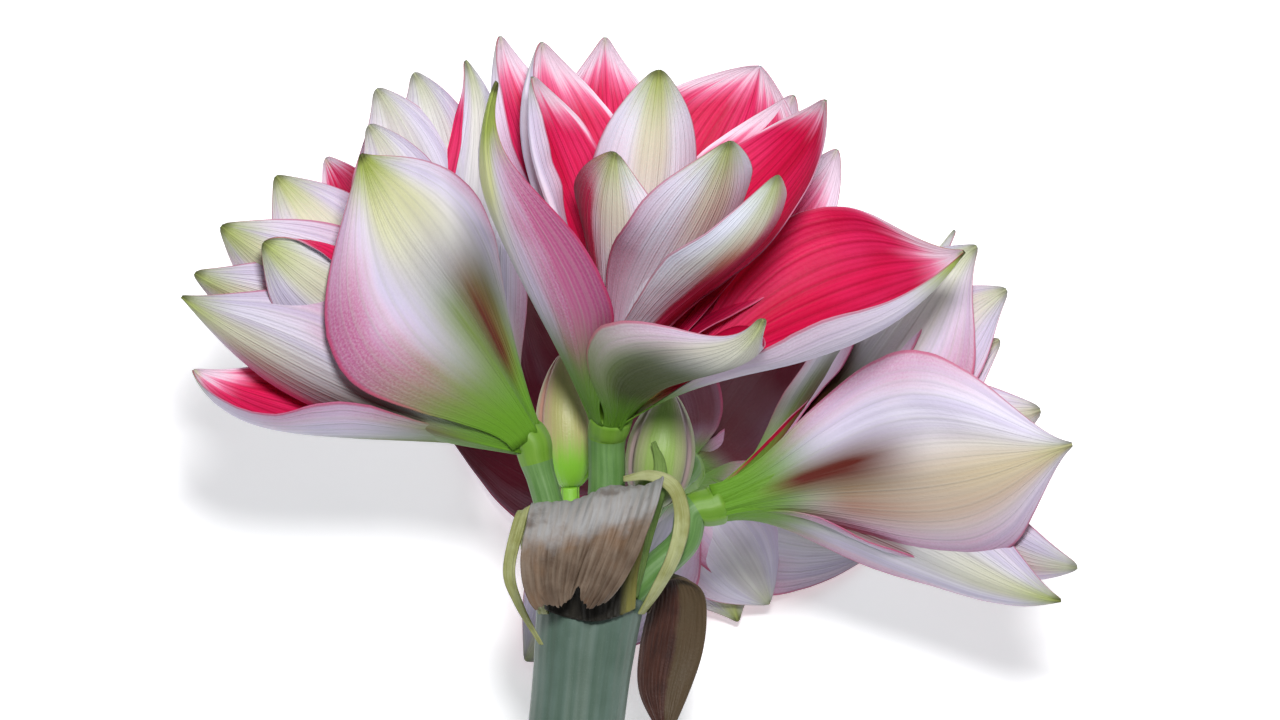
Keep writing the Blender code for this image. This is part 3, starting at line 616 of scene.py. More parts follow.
# %% Rows of the right bloom
RIGHT = dict(base=(39.0, 29.0, 3.0), axis=(0.93, 0.30, -0.20), foot=6.2, petals=[
    tepal("sepal", (143.5, 47, 36), 72, cup=1.0, skew=0.2, full=0.57, neck=2.1, keel=0.6, green=0.45,
          flank=1.1, tan=0.9, side=-0.35, dent=(2.4, -0.5)),
    # A high keel on these three paints shade low on their backs.
    tepal("petal", (116, 106, 4), 58, turn=30, spin=35, flank=1.1, side=-0.8, keel=1.7),
    tepal("petaloid", (125, 93, 0), 38, turn=15, spin=35, flank=1.1, keel=1.5),
    tepal("petaloid", (123, 78, -6), 34, spin=20, flank=1.1, keel=1.5),
    tepal("petaloid", (135, 57, 4), 34),
    tepal("petaloid", (146, 10, 6), 34, turn=25, spin=-25),
    tepal("sepal", (141, 0, 8), 48, turn=40, cup=0.9, spin=-30),
    tepal("petaloid", (132, 26, -20), 40),
    tepal("petaloid", (110, 111, -24), 38, turn=30),
    tepal("sepal", (104, 58, -64), 50, turn=40),
    tepal("petal", (110, 2, -46), 48, turn=45),
    tepal("petal", (86, 94, -50), 48, turn=40),
])
print("right bloom:", len(RIGHT["petals"]), "tepals")

# %% Rows of the back bloom
BACK = dict(base=(28.0, 38.0, -34.0), axis=(0.0, -0.12, -0.99), foot=6.2, petals=[
    # pale below 0 paints a wine-dark shade on the backs of three of these.
    tepal("sepal", (-48, 54, -118.5), 54, turn=58, cup=0.7, pale=-1.0),
    tepal("petal", (-20, -20, -86), 50, turn=62, cup=0.7),
    tepal("sepal", (45, -8, -92), 54, turn=62, cup=0.7),
    tepal("petal", (92, 16, -106), 52, turn=58, cup=0.7),
    tepal("sepal", (75, 100, -116), 54, turn=60, cup=0.7, pale=-0.8),
    tepal("petal", (-22, 94, -110), 64, turn=55, cup=0.7, pale=-0.9),
])


def unit(v):
    v = np.asarray(v, float)
    return v / np.linalg.norm(v, axis=-1, keepdims=True)


def whorl(flower, count, flare, length, width, turn, start):
    """Petaloids in an even ring round the flower's axis."""
    axis = unit(flower["axis"])
    right = unit(np.array([1.0, 0.0, 0.0]) - axis * axis[0])
    up = np.cross(right, axis)
    tilt = math.radians(flare)
    for k in range(count):
        a = math.radians(start + 360 * k / count)
        way = math.cos(tilt) * axis + math.sin(tilt) * (math.cos(a) * right + math.sin(a) * up)
        tip = np.asarray(flower["base"]) + way * (length + 4 * math.sin(2.3 * k))
        flower["petals"].append(tepal("petaloid", tuple(tip), width, turn=turn))


whorl(BACK, 5, 36, 72, 34, 35, 20)
whorl(BACK, 3, 15, 66, 28, 10, 50)
BLOOMS = {"left": LEFT, "front": FRONT, "right": RIGHT, "back": BACK}
print("tepals:", {name: len(flower["petals"]) for name, flower in BLOOMS.items()})

# %% [markdown]
# ## Growing a bloom
# One Geometry Nodes modifier for each row draws one blade. Each result is kept as a plain mesh,
# and all the blades of a bloom are joined into one piece.

# %% Growing a bloom
PETAL_ROWS, PETAL_COLUMNS = 52, 49
UPPER_HOLD, BLADE_THICKNESS, SEED_STEP = 0.34, 0.75, 1.7
SOCKET_OF = {item.name: item.identifier for item in petal_tree.interface.items_tree
             if item.in_out == "INPUT"}


def petal_values(flower, row, seed):
    """The tree's inputs for one tepal: the ends and handles of its midrib, and its form."""
    kind = KINDS[row["kind"]]
    axis = unit(flower["axis"])
    base, tip = np.asarray(flower["base"], float), np.asarray(row["tip"], float)
    out = tip - base
    out = unit(out - axis * out.dot(axis)) * row["root"]
    spin = math.radians(row["spin"])
    out = out * math.cos(spin) + np.cross(axis, out) * math.sin(spin)
    foot = base + out * kind["ring"] + axis * kind["rise"]
    length = np.linalg.norm(tip - foot)
    sunk_foot = foot - out * 1.0 - axis * 2.5
    lean, turn = math.radians(row["lean"]), math.radians(row["turn"])
    return {
        "Foot": sunk_foot, "Tip": tip, "Across": np.cross(axis, out),
        "Lower handle": foot + (math.cos(lean) * axis + math.sin(lean) * out) * row["hold"] * length,
        "Upper handle": tip - (math.cos(turn) * axis + math.sin(turn) * out) * UPPER_HOLD * length,
        "Rows": PETAL_ROWS, "Columns": PETAL_COLUMNS, "Width": row["width"], "Claw": kind["claw"],
        "Neck": row["neck"] or kind["p"], "Fullest": row["full"] or kind["p"] / (kind["p"] + kind["q"]),
        "Cup": row["cup"], "Skew": row["skew"], "Bow": row["bow"], "Roll": math.radians(row["roll"]),
        "Wave": kind["wave"], "Waves": kind["waves"],
        "Phase": 0.7 * tip[0] + 1.3 * tip[1] + 0.9 * tip[2], "Ruffle": row["ruffle"], "Keel": row["rib"],
        "Fold below": row["fold"][0], "Fold above": row["fold"][1], "Blunt tip": row["blunt"],
        "Dent": row["dent"][0], "Dent place": row["dent"][1], "Hem": row["hem"],
        "Thickness": BLADE_THICKNESS, "Seed": seed, "Tone": (row["green"], row["keel"], row["blush"]),
        "Marks": (row["flank"], row["tan"], row["side"]),
        "Paleness": row["pale"], "Skin": petal_skin,
    }


def as_mesh(holder, name):
    """The object's evaluated mesh, as a plain mesh with no modifier."""
    bpy.context.view_layer.update()
    mesh = bpy.data.meshes.new_from_object(holder.evaluated_get(bpy.context.evaluated_depsgraph_get()))
    mesh.name = name
    bpy.data.objects.remove(holder, do_unlink=True)
    return mesh


def show(name, mesh):
    made = bpy.data.objects.new(name, mesh)
    bpy.context.scene.collection.objects.link(made)
    return made


def grow_bloom(name, flower, first_seed):
    """All tepals of one bloom, in one mesh in the upright frame."""
    blades = []
    for k, row in enumerate(flower["petals"]):
        holder = show("tepal", bpy.data.meshes.new("tepal"))
        nodes = holder.modifiers.new("tepal", "NODES")
        nodes.node_group = petal_tree
        for key, value in petal_values(flower, row, first_seed + k * SEED_STEP).items():
            if key not in ("Rows", "Columns", "Skin"):
                value = [float(c) for c in value] if np.ndim(value) else float(value)
            nodes[SOCKET_OF[key]] = value
        blades.append(show("blade", as_mesh(holder, "blade")))
    with bpy.context.temp_override(active_object=blades[0], object=blades[0], selected_objects=blades,
                                   selected_editable_objects=blades):
        bpy.ops.object.join()
    blades[0].name = blades[0].data.name = name
    return blades[0]


FIRST_SEEDS = {"left": 3.0, "front": 41.0, "right": 83.0, "back": 127.0}
blooms = {}
for key, flower in BLOOMS.items():
    blooms[key] = grow_bloom("petals_" + key, flower, FIRST_SEEDS[key])
    print(key, "bloom:", sum(len(p.vertices) - 2 for p in blooms[key].data.polygons), "triangles")

# %% [markdown]
# ## Lofts for stalks, ovaries, buds and tubes
# Every green part is a swollen stem: rings of points follow a bent path, and each ring has its
# own radius and its own lobes. One helper makes such a loft from a path and a formula. It
# closes both ends with a point in the middle, and stores a map that runs round and along.

# %% Loft helper


def curve_rows(stations, count):
    """Rows of numbers, eased from one station to the next."""
    rows = np.asarray(stations, float)
    rows = np.vstack([2 * rows[0] - rows[1], rows, 2 * rows[-1] - rows[-2]])
    spans = len(stations) - 1
    done = []
    for t in np.linspace(0, spans, count):
        i = min(int(t), spans - 1)
        f = t - i
        a, b, c, d = rows[i:i + 4]
        done.append(0.5 * (2 * b + (c - a) * f + (2 * a - 5 * b + 4 * c - d) * f**2
                           + (3 * b - a - 3 * c + d) * f**3))
    return np.array(done)


def loft(name, centres, ways, radii, sides, reference=(0, 0, 1), form=None):
    """Rings round centres, square to ways; form(angle, ring) scales each ring's radius."""
    ways = unit(ways)
    first = unit(np.asarray(reference, float) - ways * (ways @ np.asarray(reference, float))[:, None])
    second = np.cross(ways, first)
    angle = np.arange(sides) * 2 * math.pi / sides
    verts, count = [], len(centres)
    for i in range(count):
        radius = radii[i] * (np.ones(sides) if form is None else form(angle, i))
        ring = centres[i] + radius[:, None] * (np.cos(angle)[:, None] * first[i]
                                               + np.sin(angle)[:, None] * second[i])
        verts.extend(ring.tolist())
    verts.append(list(centres[0]))
    verts.append(list(centres[-1]))
    faces, places = [], []
    step = np.linalg.norm(np.diff(centres, axis=0), axis=1) + np.abs(np.diff(radii))
    length = np.concatenate([[0], np.cumsum(step)]) / max(step.sum(), 1e-6)
    for i in range(count - 1):
        for k in range(sides):
            n = (k + 1) % sides
            faces.append((i * sides + k, i * sides + n, (i + 1) * sides + n, (i + 1) * sides + k))
            a, b = k / sides, (k + 1) / sides
            places.extend([(a, length[i]), (b, length[i]), (b, length[i + 1]), (a, length[i + 1])])
    for k in range(sides):
        n = (k + 1) % sides
        faces.append((len(verts) - 2, n, k))
        places.extend([((k + 0.5) / sides, 0), ((k + 1) / sides, 0), (k / sides, 0)])
        faces.append((len(verts) - 1, (count - 1) * sides + k, (count - 1) * sides + n))
        places.extend([((k + 0.5) / sides, 1), (k / sides, 1), ((k + 1) / sides, 1)])
    mesh = bpy.data.meshes.new(name)
    mesh.from_pydata(verts, [], faces)
    mesh.uv_layers.new(name="stem_map").data.foreach_set("uv", np.array(places, float).ravel())
    mesh.shade_smooth()
    return show(name, mesh)


def path_ways(centres):
    """The way along the path at each of its points."""
    return unit(np.gradient(centres, axis=0))


print("loft helper ready")

# %% [markdown]
# ## Green skins
# The scape is a dull blue-green under a waxy bloom, with faint ribs. The short stalks are a
# fresher green, and the ovaries and the feet of the blooms are nearly yellow-green. They are one
# kind of skin with other colours, so one function makes them: streaks run along the stem, small
# pale spots break them, and a slight relief keeps the highlight from being a clean line.

# %% Material: green stems


def stem_skin(name, dark, light, wax, ribs):
    """Green skin along a stem_map; wax is a pale film, ribs the number of ridges round it."""
    made, board, shader = new_material(name)
    round_it, along = own_map(board, "stem_map")
    place = own_place(board)
    turn = round_it * (2 * math.pi)
    ringed = board.join(turn.cos() * 3.0, turn.sin() * 3.0, along * 2.0)
    streak = board.noise(ringed, 2.2, 4.0)
    cloud = board.noise(place, 60.0, 3.0)
    grain = board.noise(place, 1800.0, 2.0)
    ridge = (round_it * (2 * math.pi * ribs) + (streak - 0.5) * 3.0).sin() * 0.5 + 0.5
    colour = board.mix(dark, light, (streak * 0.7 + cloud * 0.5).ease(0.35, 0.85))
    colour = board.mix(colour, wax, (ridge * 0.12 + streak * 0.25 + cloud * 0.5).ease(0.30, 0.75) * 0.5)
    colour = board.mix(colour, wax, grain.ease(0.60, 0.74) * 0.25)
    relief = ridge * 0.35 + grain * 0.3 + streak * 0.4
    finish_skin(board, shader, colour, 0.42 + cloud * 0.15, relief, 0.00015, gloss=0.4)
    return made


scape_skin = stem_skin("scape_skin", (0.055, 0.097, 0.070), (0.082, 0.132, 0.102), (0.13, 0.19, 0.175), 26)
stalk_skin = stem_skin("stalk_skin", (0.070, 0.170, 0.040), (0.120, 0.250, 0.062), (0.175, 0.30, 0.125), 14)
ovary_skin = stem_skin("ovary_skin", (0.095, 0.235, 0.013), (0.135, 0.285, 0.020), (0.19, 0.33, 0.055), 9)
print("green skins: scape, stalk, ovary")

# %% [markdown]
# ## Scape
# The scape is as thick as a thumb and hollow. Its outer wall runs down to the cut, where the
# rim turns in and the wall goes back up inside, so the cut end is a real ring with a dark
# hollow behind it. It is lofted in one go: down the outside, across the cut, up the inside. The
# skin lies a hair inside its solid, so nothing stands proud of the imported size.

# %% Scape
SCAPE_SIDES = 120
INSET = 0.985
SCAPE_ROUTE = [
    (0.0, 0.0, 0.0, 16.4), (-1.6, -14.0, 0.0, 15.3), (-4.0, -36.0, 0.0, 14.5), (-12.0, -110.0, 0.0, 14.5),
    (-18.0, -185.0, 0.0, 14.8), (-22.0, -263.0, 0.0, 15.3)]
rows = curve_rows(SCAPE_ROUTE, 90)
centres, radii = rows[:, :3].copy(), rows[:, 3] * INSET
ways = path_ways(centres)
ways[0] = (0, -1, 0)
end, way = centres[-1], unit(centres[-1] - np.array(SCAPE_ROUTE[-2][:3]))
top = [(centres[0] + (0, h, 0), ways[0], radii[0] * f) for f, h in ((0.35, 1.3), (0.75, 1.2), (0.93, 0.8))]
turn_in = [(end + way * 0.05, way, radii[-1] * INSET), (end + way * 0.1, way, 12.5), (end, way, 9.6),
           (end - way * 0.8, way, 9.0)]
bore = [(end - way * d, way, 9.0 + 0.15 * math.sin(d)) for d in np.linspace(2, 35, 18)]
bore.append((end - way * 35.8, way, 7.5))
bore.append((end - way * 36.0, way, 3.0))
parts = top + [(c, w, r) for c, w, r in zip(centres, ways, radii)] + turn_in + bore


def scape_form(angle, ring):
    """Faint ribs on the outer wall alone."""
    if ring < len(top) or ring >= len(top) + len(centres):
        return np.ones_like(angle)
    ribs = 0.006 * np.sin(24 * angle + 0.4 * math.sin(ring * 0.2))
    return 1 + ribs + 0.004 * np.sin(3 * angle + ring * 0.05)


scape = loft("scape_stem", np.array([p[0] for p in parts]), np.array([p[1] for p in parts]),
             np.array([p[2] for p in parts]), SCAPE_SIDES, form=scape_form)
print("scape:", len(scape.data.polygons), "faces")

# %% [markdown]
# ### The cut face
# A fresh cut shows pale green pith with large cells and a slight wet gloss, so it has a skin of
# its own. Only the faces of the rim and of the hollow take it; the outer wall stays waxy.

# %% Material: cut face of the scape
cut_skin, board, shader = new_material("cut_pith")
place = own_place(board)
cell = board.add("ShaderNodeTexVoronoi", {}, {"Vector": place, "Scale": 900.0}, "Distance")
cloud = board.noise(place, 260.0, 3.0)
colour = board.mix((0.52, 0.60, 0.36), (0.72, 0.76, 0.56), cloud)
colour = board.mix(colour, (0.30, 0.40, 0.20), cell.ease(0.5, 0.9) * 0.6)
finish_skin(board, shader, colour, 0.30 + cloud * 0.25, cell, 0.0003)
scape.data.materials.append(scape_skin)
scape.data.materials.append(cut_skin)
first_cut = (len(top) + len(centres) - 1) * SCAPE_SIDES
for polygon in scape.data.polygons:
    if first_cut <= polygon.index < (len(parts) - 1) * SCAPE_SIDES:
        polygon.material_index = 1
print("cut face material on", sum(p.material_index for p in scape.data.polygons), "faces")

# %% [markdown]
# ## Stalks and ovaries
# Each bloom stands on a pedicel that swells into a three-lobed ovary just under the petals. The
# two are one growth, so they are one loft: the path runs up the pedicel and along the bloom's
# axis, and the radius and its three lobes rise over the ovary and fall again at its neck.

# %% Pedicels
STALKS = {
    "left": (6.5, [(-8.6, -1.5, 3.0, 4.4), (-10.0, 14, 5.0, 4.3), (-12.2, 28, 7.0, 4.4),
                   (-16.0, 41.5, 8.0, 4.5)], (0, 0, 1)),
    "front": (6.9, [(1.2, -1.5, 8.8, 5.5), (3.6, 18, 8.4, 5.5), (5.0, 34, 7.6, 5.6)], (1, 0, 0)),
    "right": (6.5, [(6.6, -6.0, 2.2, 4.7), (10.8, 1.0, 2.4, 4.7), (19.0, 9.0, 3.4, 4.7),
                    (28.0, 17.5, 4.0, 4.8)], (0, 0, 1)),
    "back": (7.0, [(3.0, -1.5, -10.0, 4.7), (9.0, 14, -15.5, 4.7), (18.5, 29, -20.0, 4.8)], (1, 0, 0)),
}
OVARY_LENGTH, LIP, STALK_SIDES, SCAPE_TOP = 11.5, 2.2, 54, 0.3
pedicels = {}
for key, (ovary, route, reference) in STALKS.items():
    base, axis = np.asarray(BLOOMS[key]["base"]), unit(BLOOMS[key]["axis"])
    thin = route[-1][3]
    steps = (-3.0, LIP) if key == "left" else (-9.0, -3.0, LIP)
    rows = curve_rows(route + [(*(base + axis * step), 0.0) for step in steps], 110)
    rows = rows[rows[:, 1] > SCAPE_TOP]
    height = np.where(np.arange(len(rows)) > len(rows) // 3, (rows[:, :3] - base) @ axis, -50.0)
    swell = np.clip((height + OVARY_LENGTH) / OVARY_LENGTH, 0, 1) ** 1.2
    lobed = swell * np.clip((LIP - height) / 6.0, 0, 1) * 0.7
    crown = np.clip((height + 1.4) / (LIP + 1.4), 0, 1)
    rows[:, 3] = (thin + (ovary - thin) * swell) * np.sqrt(1 - 0.93 * crown ** 2)
    ways = path_ways(rows[:, :3])
    ways[0] = (0, 1, 0)

    def lobes(angle, ring, lobed=lobed):
        """Three lobes where the ovary swells, and faint ribs all along."""
        groove = np.abs(np.cos(1.5 * angle)) ** 0.6
        return 1 + lobed[ring] * (0.10 * groove - 0.05) + 0.010 * np.sin(9 * angle)

    pedicels[key] = loft("stalk_" + key, rows[:, :3], ways, rows[:, 3] * INSET, STALK_SIDES,
                         reference, lobes)
    pedicels[key].data.materials.append(stalk_skin)
    pedicels[key].data.materials.append(ovary_skin)
    for polygon in pedicels[key].data.polygons:
        if swell[min(polygon.index // STALK_SIDES, len(swell) - 1)] > 0.22:
            polygon.material_index = 1
print("pedicels:", sorted(pedicels))

# %% [markdown]
# ## Perianth tubes
# Below the free tepals their feet are joined in a short green tube. It shows only between the
# feet, so it is a short flared loft with six ribs, a little narrower than the ring of feet.

# %% Perianth tubes
TUBE_RINGS, TUBE_SIDES = 44, 60
tubes = {}
for key, flower in BLOOMS.items():
    base, axis = np.asarray(flower["base"]), unit(flower["axis"])
    heights = np.linspace(0.05, 18.0, TUBE_RINGS)
    radii = flower["foot"] - 1.4 + 0.9 * np.sin(np.clip(heights / 10.0, 0, 1) * math.pi / 2)
    radii = radii * np.sqrt(np.clip(1 - (np.clip(heights - 4, 0, None) / 14.2) ** 2, 0.02, 1))
    reference = (1, 0, 0) if key in ("front", "back") else (0, 0, 1)
    tubes[key] = loft("tube_" + key, base + axis * heights[:, None],
                      np.repeat([axis], TUBE_RINGS, axis=0), radii, TUBE_SIDES, reference,
                      lambda angle, ring: 1 + 0.03 * np.cos(6 * angle))
    tubes[key].data.materials.append(ovary_skin)
print("tubes:", sorted(tubes))

# %% [markdown]
# ## Buds
# Two buds stayed small and shut. Three sepals meet edge to edge, so a bud is a lobed spindle:
# full in the middle of each sepal, with a fine groove where two of them meet. Its skin is pale
# yellow-green with a green stripe up each sepal and a dull purple brown along the seams.

# %% Material: bud skin


def valve_skin(name, low, high, stripe, seam_colour, foot, foot_top):
    """Skin of a shut bud: a stripe up each of its three sepals, and dull seams between them."""
    made, board, shader = new_material(name)
    round_it, along = own_map(board, "stem_map")
    place = own_place(board)
    seam = abs((round_it * (3 * math.pi)).cos())
    turn = round_it * (2 * math.pi)
    streak = board.noise(board.join(turn.cos() * 4.0, turn.sin() * 4.0, along * 1.3), 2.4, 4.0)
    grain = board.noise(place, 1500.0, 2.0)
    colour = board.mix(low, high, streak.ease(0.35, 0.7))
    colour = board.mix(colour, stripe, (seam + (streak - 0.5) * 0.6).ease(0.60, 0.98) * 0.75)
    colour = board.mix(colour, seam_colour, (seam + (streak - 0.5) * 0.5).ease(0.50, 0.08) * 0.8)
    colour = board.mix(colour, foot, (along + (streak - 0.5) * 0.1).ease(foot_top, foot_top - 0.16) * 0.95)
    relief = seam.ease(0.0, 0.25) + streak * 0.5 + grain * 0.2
    finish_skin(board, shader, colour, 0.38 + grain * 0.15, relief, 0.0004)
    return made


bud_skins = {
    "left": valve_skin("bud_valves_pale", (0.40, 0.37, 0.17), (0.45, 0.32, 0.21), (0.36, 0.37, 0.12),
                       (0.42, 0.18, 0.17), (0.20, 0.48, 0.03), 0.66),
    "right": valve_skin("bud_valves_green", (0.30, 0.36, 0.15), (0.36, 0.37, 0.21), (0.20, 0.36, 0.045),
                        (0.34, 0.22, 0.27), (0.30, 0.50, 0.08), 0.50),
}
print("bud skins:", sorted(bud_skins))

# %% Buds
BUDS = {
    "left": ((-6.0, 33.0, -8.5), (-0.05, 1.0, 0.02), 41.0, 8.8,
             [(-5.4, -1.5, -6.6, 2.5), (-5.6, 16, -8.0, 2.6)]),
    "right": ((19.0, 27.5, -1.5), (0.13, 0.98, 0.12), 36.0, 9.6,
              [(9.2, -1.5, -7.0, 2.4), (14.0, 12, -7.0, 2.5)]),
}
BUD_SIDES = 72
buds = {}
for key, (base, axis, length, radius, route) in BUDS.items():
    base, axis = np.asarray(base), unit(axis)
    stem = curve_rows(route + [(*(base + axis * 1.0), 2.8)], 30)
    stem = stem[stem[:, 1] > SCAPE_TOP]
    heights = np.linspace(-0.97, 0.999, 60)
    body = []
    for h in heights:
        full = radius * math.sqrt(1 - h * h) * (1.03 - 0.14 * h - 0.22 * max(h, 0.0) ** 2)
        body.append((*(base + axis * length * (0.5 + 0.5 * h)), full))
    body = np.array(body)
    body = body[body[:, 3] > 2.4 * (heights < 0)]
    rows = np.vstack([stem, body])
    lobed = np.concatenate([np.zeros(len(stem)), np.ones(len(body))])
    ways = path_ways(rows[:, :3])
    ways[0] = (0, 1, 0)

    def valves(angle, ring, lobed=lobed):
        """Three sepals that meet in fine grooves, on the bud's body alone."""
        groove = np.abs(np.cos(1.5 * angle)) ** 0.45
        return 1 + lobed[ring] * (0.13 * groove - 0.07)

    buds[key] = loft("bud_valves_" + key, rows[:, :3], ways, rows[:, 3], BUD_SIDES, (0, 0, 1), valves)
    buds[key].data.materials.append(bud_skins[key])
print("buds:", sorted(buds))

# %% [markdown]
# ## Withered bracts
# The spathe, the pair of bracts that wrapped the young head, has dried. One rolls over in front
# like stiff paper, torn along its lower edge, and the other hangs down, dark and narrow. A dry
# bract is a ribbon along a bent path: rows give its middle, half its width and how much it sags
# between its margins. Long ridges and small creases come from sums of waves, and a Solidify
# modifier gives it its paper thickness.

# %% Bract ribbon helper
PAPER = 0.6
FINE_STEPS = 160


def ribbon(name, stations, along, across, tear=None, crease=0.0, ridges=0.0, curl=0.0, smile=0.0):
    """A thin open sheet; each station gives its middle, the half width as a vector, and its sag."""
    u, v = np.meshgrid(np.linspace(0, 1, along + 1), np.linspace(-1, 1, across + 1), indexing="ij")
    reach = u if tear is None else u * (1 - tear(v))
    rows = curve_rows(stations, FINE_STEPS + 1)
    spot = reach * FINE_STEPS
    low = np.clip(spot.astype(int), 0, FINE_STEPS - 1)
    part = (spot - low)[..., None]
    row = rows[low] * (1 - part) + rows[low + 1] * part
    centre, half, sag = row[..., 0:3], row[..., 3:6], row[..., 6:7]
    ahead = unit(np.gradient(centre, axis=0))
    face = unit(np.cross(half, ahead))
    fold = crease * (np.sin(9 * u + 4 * v) * 0.8 + np.sin(7 * v + 5 * u + 1) * 0.5)
    fold = fold + crease * 0.25 * (np.sin(31 * u + 7 * np.sin(5 * v)) * np.sin(13 * v + 4 * u))
    fold = fold + ridges * np.sin(46 * v + 1.5 * np.sin(4 * u)) + curl * v ** 4 * np.sin(7 * u + 2)
    points = centre + half * v[..., None] - face * sag * v[..., None] ** 2 + face * fold[..., None]
    # smile curves the lower edge down, which gives the painted shadow at the front bract's foot its outline.
    points[..., 1] -= smile * (1 - v ** 2) * (1 - reach) ** 16
    verts = points.reshape(-1, 3).tolist()
    faces, places = [], []
    wide = across + 1
    for i in range(along):
        for j in range(across):
            quad = (i * wide + j, i * wide + j + 1, (i + 1) * wide + j + 1, (i + 1) * wide + j)
            faces.append(quad)
            places.extend([(v[q // wide, q % wide] * 0.5 + 0.5, reach[q // wide, q % wide]) for q in quad])
    mesh = bpy.data.meshes.new(name)
    mesh.from_pydata(verts, [], faces)
    mesh.uv_layers.new(name="bract_map").data.foreach_set("uv", np.array(places, float).ravel())
    mesh.shade_smooth()
    return show(name, mesh)


print("ribbon helper ready")

# %% Where the bracts run
# The first stations make a low sleeve in front of the stalks, which carries the painted shadow at the foot.
SPATHE = [
    (0.0, -3.0, 17.9, 13.4, 0.0, 0.0, 7.0), (0.5, 8.0, 19.1, 14.0, 1.0, 0.0, 5.0),
    (1.5, 24.0, 20.0, 17.0, 3.0, 0.0, 3.0), (2.5, 32.0, 25.0, 19.5, 4.0, 0.0, 1.0),
    (1.2, 27.0, 32.0, 20.0, 4.5, 0.0, 1.5), (-2.2, 15.0, 34.0, 18.4, 3.5, 0.0, 3.0),
    (-5.0, 4.0, 31.0, 13.6, 1.4, 0.0, 4.0), (-6.0, -3.0, 28.0, 7.5, 0.6, 0.0, 2.6)]
HANGING = [
    (15.1, -3.5, -5.0, 1.9, 0.0, 4.6, 1.0), (18.6, 4.0, -8.0, 3.0, 1.4, 5.4, 0.5),
    (23.5, 9.0, -11.0, 5.0, -3.0, 4.4, 0.0), (26.0, 1.0, -13.5, 8.0, -1.0, 3.4, -1.5),
    (24.0, -14.0, -15.5, 9.6, 0.0, 2.4, -3.0), (21.8, -28.0, -16.5, 7.4, 0.0, 1.6, -2.5),
    (22.5, -42.0, -16.5, 0.8, 0.0, 0.3, -0.3)]
THREADS = {
    "left": [(-13.8, -4.0, 9.7, 1.4, 0.0, 1.8, 0.0), (-18.6, 14.0, 12.5, 1.8, 0.0, 1.4, 0.3),
             (-19.2, 27.0, 14.5, 1.7, 1.0, 1.2, 0.3), (-21.4, 22.0, 18.5, 1.7, -0.8, 1.0, 0.3),
             (-24.0, 9.0, 19.0, 1.7, 0.0, 1.0, 0.3), (-21.0, -1.0, 17.5, 1.5, -0.6, 1.0, 0.2),
             (-14.5, -13.0, 16.0, 0.6, 0.0, 0.4, 0.0)],
    "right": [(15.3, -4.0, 6.0, 0.9, 0.0, -2.2, 0.0), (20.6, 4.0, 11.5, 1.6, -0.4, -2.0, 0.3),
              (25.5, 14.0, 15.5, 2.2, 0.0, -1.2, 0.4), (27.6, 25.0, 16.0, 2.3, 0.4, -0.6, 0.4),
              (25.0, 34.0, 16.0, 1.4, 1.8, -0.4, 0.3), (18.0, 37.5, 17.0, 0.2, 1.6, -0.4, 0.2),
              (10.0, 36.5, 18.0, 0.0, 0.7, -0.2, 0.0)],
    "tip": [(13.2, 0.9, 10.2, 1.0, 0.0, -1.0, 0.0), (16.8, 18.0, 11.6, 1.8, 0.0, -1.2, 0.2),
            (20.6, 33.0, 12.6, 2.2, 0.3, -1.0, 0.4), (21.0, 41.0, 12.8, 1.6, 0.4, -0.6, 0.3),
            (19.0, 47.5, 14.0, 0.5, 0.2, -0.1, 0.0)],
}


print("stations:", len(SPATHE), len(HANGING), {name: len(rows) for name, rows in THREADS.items()})

# %% Bracts and bracteoles


def torn(v):
    """How far short of its full length the front bract stops, across its width."""
    return (0.015 + 0.075 * np.exp(-((v - 0.12) / 0.10) ** 2) + 0.05 * np.abs(np.sin(3.1 * v + 1.2)) ** 0.8
            + 0.012 * np.abs(np.sin(23 * v)) + 0.008 * np.abs(np.sin(61 * v + 1)))


bracts = {
    "front": ribbon("bract_front", SPATHE, 150, 110, tear=torn, crease=1.1, ridges=0.12, curl=0.9,
                    smile=3.0),
    "hanging": ribbon("bract_hanging", HANGING, 130, 50, crease=0.4, ridges=0.04, curl=0.3),
}
for key, stations in THREADS.items():
    bracts[key] = ribbon("bracteole_blade_" + key, stations, 120, 10, crease=0.12)
for key, bract in bracts.items():
    thick = bract.modifiers.new("paper", "SOLIDIFY")
    thick.thickness = PAPER
    thick.offset = 0.0
print("bracts:", sorted(bracts))

# %% [markdown]
# ### Skins of the bracts
# All of them are fibrous, so fine lines run along the map, and stains and rusty patches lie over
# them. The front one is brown paper with a pale grey stretch where it rolls over, its own papery
# grey with a painted sheen, and a near black foot that is painted shadow over dark dried tissue.
# The hanging one is dark wine brown, and the bracteoles are still yellow-green.

# %% Material: dry and dark bracts


RUST, SHEEN_GREY = (0.18, 0.095, 0.045), (0.33, 0.34, 0.35)
SHADOW_BLACK, OLIVE = (0.012, 0.010, 0.006), (0.16, 0.15, 0.035)
FIBRES = 95.0


